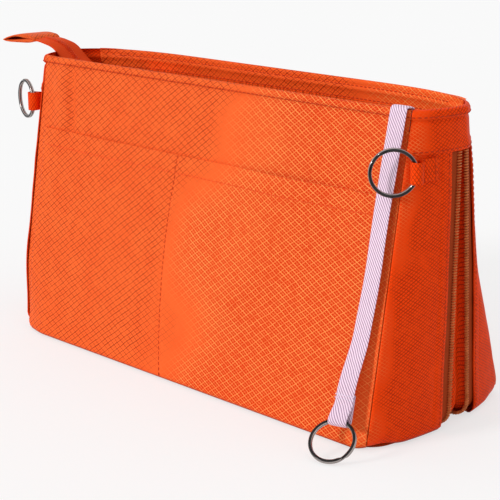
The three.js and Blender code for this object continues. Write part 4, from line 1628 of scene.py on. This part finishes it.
# Zip sliders and their pullers
def flatPlate(outlines, thickness, bevel, place):
    curve = bpy.data.curves.new("plate", "CURVE")
    curve.dimensions = "2D"
    curve.fill_mode = "BOTH"
    curve.extrude = (thickness / 2 - bevel) * mm
    curve.bevel_depth = bevel * mm
    curve.bevel_resolution = 2
    curve.offset = -bevel * mm
    for outline in outlines:
        spline = curve.splines.new("POLY")
        spline.points.add(len(outline) - 1)
        for point, (x, y) in zip(spline.points, outline):
            point.co = (x * mm, y * mm, 0, 1)
        spline.use_cyclic_u = True
    holder = bpy.data.objects.new("plate", curve)
    bpy.context.scene.collection.objects.link(holder)
    mesh = bpy.data.meshes.new_from_object(holder.evaluated_get(bpy.context.evaluated_depsgraph_get()))
    bpy.data.objects.remove(holder)
    bpy.data.curves.remove(curve)
    mesh.transform(place)
    if place.determinant() < 0:
        mesh.flip_normals()
    return mesh


def joined(name, meshes, material):
    points, faces = [], []
    for mesh in meshes:
        start = len(points)
        points += [v.co / mm for v in mesh.vertices]
        faces += [tuple(start + i for i in p.vertices) for p in mesh.polygons]
        bpy.data.meshes.remove(mesh)
    made = addObject(name, points, faces, material)
    made.data.set_sharp_from_angle(angle=math.radians(40))
    return made


sliderForm = {
    "length": 10,
    "bevel": 0.35,
    "post": [(-1, 5), (1, 5), (1, 9), (-1, 9)],
    "postBevel": 0.2,
    "bridge": (0.45, 0.75),        # half width and half height of its wire
}


# A shield outline: broad at the mouth end, narrow at the tail, as (across, along)
def shield(length, broad, narrow):
    side = [(broad * 0.7, 0.0), (broad, 0.2), (broad, 0.42), (mix(broad, narrow, 0.5), 0.68), (narrow, 0.92),
            (narrow * 0.7, 1.0)]
    right = [(x, y * length) for x, y in side]
    return right + [(-x, y) for x, y in right[::-1]]


def basis(xAxis, yAxis, zAxis, origin):
    turn = Matrix((xAxis, yAxis, zAxis)).transposed().to_4x4()
    return Matrix.Translation(Vector(origin) * mm) @ turn


# plates: half widths at the mouth and the tail, thickness, and how far along the outward axis
def sliderPiece(name, node, mouth, travel, outward, plates, bridge):
    form = sliderForm
    across = (-travel).cross(outward)

    def at(out):
        return basis(across, -travel, across.cross(-travel), mouth + outward * out)
    meshes = []
    for broad, narrow, thickness, out in plates:
        meshes.append(flatPlate([shield(form["length"], broad, narrow)], thickness, form["bevel"], at(out)))
    outer, inner = plates[0][3], plates[1][3]
    meshes.append(flatPlate([form["post"]], outer - inner, form["postBevel"], at((outer + inner) / 2)))
    settle(joined(name, meshes, metal), node, "metal", node)
    path = throughPoints([Vector(p) for p in bridge], 4)
    settle(tube(name + "Bridge", path, across, *form["bridge"], metal), node, "metal")


pullerForm = {"thickness": 1.1, "bevel": 0.3}


def roundEnd(cx, cy, radius, start, end, count):
    return [(cx + radius * math.cos(a), cy + radius * math.sin(a)) for a in steps(start, end, count)]


# Body, eye and slot of a puller that hangs from its hinge
def pullerOutlines():
    body = [(-2.5, -2.8), (-2.0, -15.5)] + roundEnd(0, -16.0, 2.0, -math.pi * 0.95, -math.pi * 0.05, 10)
    body += [(2.0, -15.5), (2.5, -2.8)] + roundEnd(1.7, -0.2, 0.8, 0, math.pi / 2, 4)
    body += roundEnd(-1.7, -0.2, 0.8, math.pi / 2, math.pi, 4)
    eye = [(-1.35, -0.75), (1.35, -0.75), (1.35, -3.2), (-1.35, -3.2)]
    slot = [(-0.9, -6.5), (0.9, -6.5)] + roundEnd(0, -13.6, 0.8, 0, -math.pi, 8)
    return [body, eye, slot]


def pullerPiece(name, node, jointName):
    place = basis(Vector((0, 1, 0)), Vector((0, 0, 1)), Vector((1, 0, 0)), pivot(jointName))
    plate = flatPlate(pullerOutlines(), pullerForm["thickness"], pullerForm["bevel"], place)
    settle(joined(name, [plate], metal), node, "metal", node)


low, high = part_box("expander_slider")
slideY = (low.y + high.y) / 2 / mm
outerX = low.x / mm
bridge = [
    (outerX + 0.6, 142.4), (outerX + 0.2, 143.5), (-154.2, 143.95), (-155.3, 143.4), (-155.65, 142.3),
    (-155.2, 141.0), (-154.2, 140.35), (outerX + 0.3, 140.3)]
sliderPiece(
    "expanderSlider", "expander_slider",
    Vector((0, slideY, low.z / mm)), Vector((0, 0, -1)), Vector((-1, 0, 0)),
    [(4.5, 3.0, 1.2, -outerX - 0.6), (2.0, 1.6, 1.2, -outerX - 4.0)], [(x, slideY, z) for x, z in bridge])
pullerPiece("expanderPuller", "expander_puller", "expander_pull")
low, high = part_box("top_slider")
topX, topZ, footZ = high.x / mm, high.z / mm, low.z / mm
bridge = [
    (topX - 2.0, topZ - 0.3), (topX - 0.6, topZ + 0.35), (topX + 1.4, topZ - 0.3), (topX + 2.3, topZ - 1.7),
    (topX + 2.2, footZ + 2.2), (topX + 1.0, footZ + 1.0), (topX - 0.6, footZ + 0.7)]
sliderPiece(
    "topSlider", "top_slider",
    Vector((topX, middleY, 0)), Vector((1, 0, 0)), Vector((0, 0, 1)),
    [(4.5, 3.2, 1.5, topZ - 0.75), (4.5, 3.2, 1.5, footZ + 0.75)], [(x, middleY, z) for x, z in bridge])
pullerPiece("topPuller", "top_puller", "top_pull")
print("sliders made")

# Stage: camera, light, floor
stage = {
    "camera": (0.53616, -0.52625, 0.28598),
    "target": (0.00311, 0.03272, 0.0664),
    "lens": 98.856,
    "sunTurn": -22.0,              # degrees round from the front, towards the left
    "sunHeight": 22.0,
    "sunStrength": 1.5,
    "sunAngle": 14.0,
    "world": 0.58,
    "worldRise": (-0.1, 0.9),      # the soft light grows between these heights of the sky
    "worldGlow": (0.32, 1.5),
    "backdrop": 0.98,
    "floorGlow": 0.62,
    "floorReach": 6.0,
    "floorDrop": 0.0002,
}
scene = bpy.context.scene
lens = bpy.data.cameras.new("camera")
lens.lens = stage["lens"]
lens.sensor_width = 36.0
lens.clip_start = 0.01
camera = bpy.data.objects.new("camera", lens)
camera.location = stage["camera"]
gaze = Vector(stage["target"]) - Vector(stage["camera"])
camera.rotation_euler = gaze.to_track_quat("-Z", "Y").to_euler()
scene.collection.objects.link(camera)
scene.camera = camera

sunLamp = bpy.data.lights.new("sun", "SUN")
sunLamp.energy = stage["sunStrength"]
sunLamp.angle = math.radians(stage["sunAngle"])
sun = bpy.data.objects.new("sun", sunLamp)
turn, height = math.radians(stage["sunTurn"]), math.radians(stage["sunHeight"])
sunFrom = Vector((math.sin(turn) * math.cos(height), -math.cos(turn) * math.cos(height), math.sin(height)))
sun.rotation_euler = sunFrom.to_track_quat("Z", "Y").to_euler()
scene.collection.objects.link(sun)


# White to the eye and to what mirrors it, while the soft light stays as it is
def seenShare():
    rays = addNode("ShaderNodeLightPath").outputs
    return larger(larger(rays["Is Camera Ray"], rays["Is Glossy Ray"]), rays["Is Transmission Ray"])


world = bpy.data.worlds.new("studio")
world.use_nodes = True
scene.world = world
bench["tree"] = world.node_tree
split = addNode("ShaderNodeSeparateXYZ")
feed(addNode("ShaderNodeTexCoord").outputs["Generated"], split.inputs[0])
backdrop = addNode("ShaderNodeMix")
softLight = mapped(split.outputs["Z"], *stage["worldRise"], *stage["worldGlow"])
feedAll(backdrop, Factor=seenShare(), A=softLight, B=stage["backdrop"] / stage["world"])
feedAll(world.node_tree.nodes["Background"], Strength=stage["world"], Color=backdrop.outputs["Result"])

floorMaterial, inputs = newMaterial("floor")
feed(colour(250, 250, 250), inputs["Base Color"])
feed(0.9, inputs["Roughness"])
feed(0.0, inputs["Specular IOR Level"])
floorNodes = floorMaterial.node_tree.nodes
lit = addNode("ShaderNodeEmission")
feedAll(lit, Color=(1, 1, 1, 1), Strength=1.0)
blended = addNode("ShaderNodeMixShader")
feed(times(seenShare(), stage["floorGlow"]), blended.inputs[0])
feed(floorNodes["Principled BSDF"].outputs[0], blended.inputs[1])
feed(lit.outputs[0], blended.inputs[2])
feed(blended.outputs[0], floorNodes["Material Output"].inputs["Surface"])
floorMesh = bpy.data.meshes.new("floor")
reach = stage["floorReach"]
corners = [(-reach, -reach, 0), (reach, -reach, 0), (reach, reach, 0), (-reach, reach, 0)]
floorMesh.from_pydata(corners, [], [(0, 1, 2, 3)])
floorMesh.materials.append(floorMaterial)
floor = bpy.data.objects.new("floor", floorMesh)
floor.location.z = -stage["floorDrop"]
scene.collection.objects.link(floor)

scene.view_settings.view_transform = "Standard"
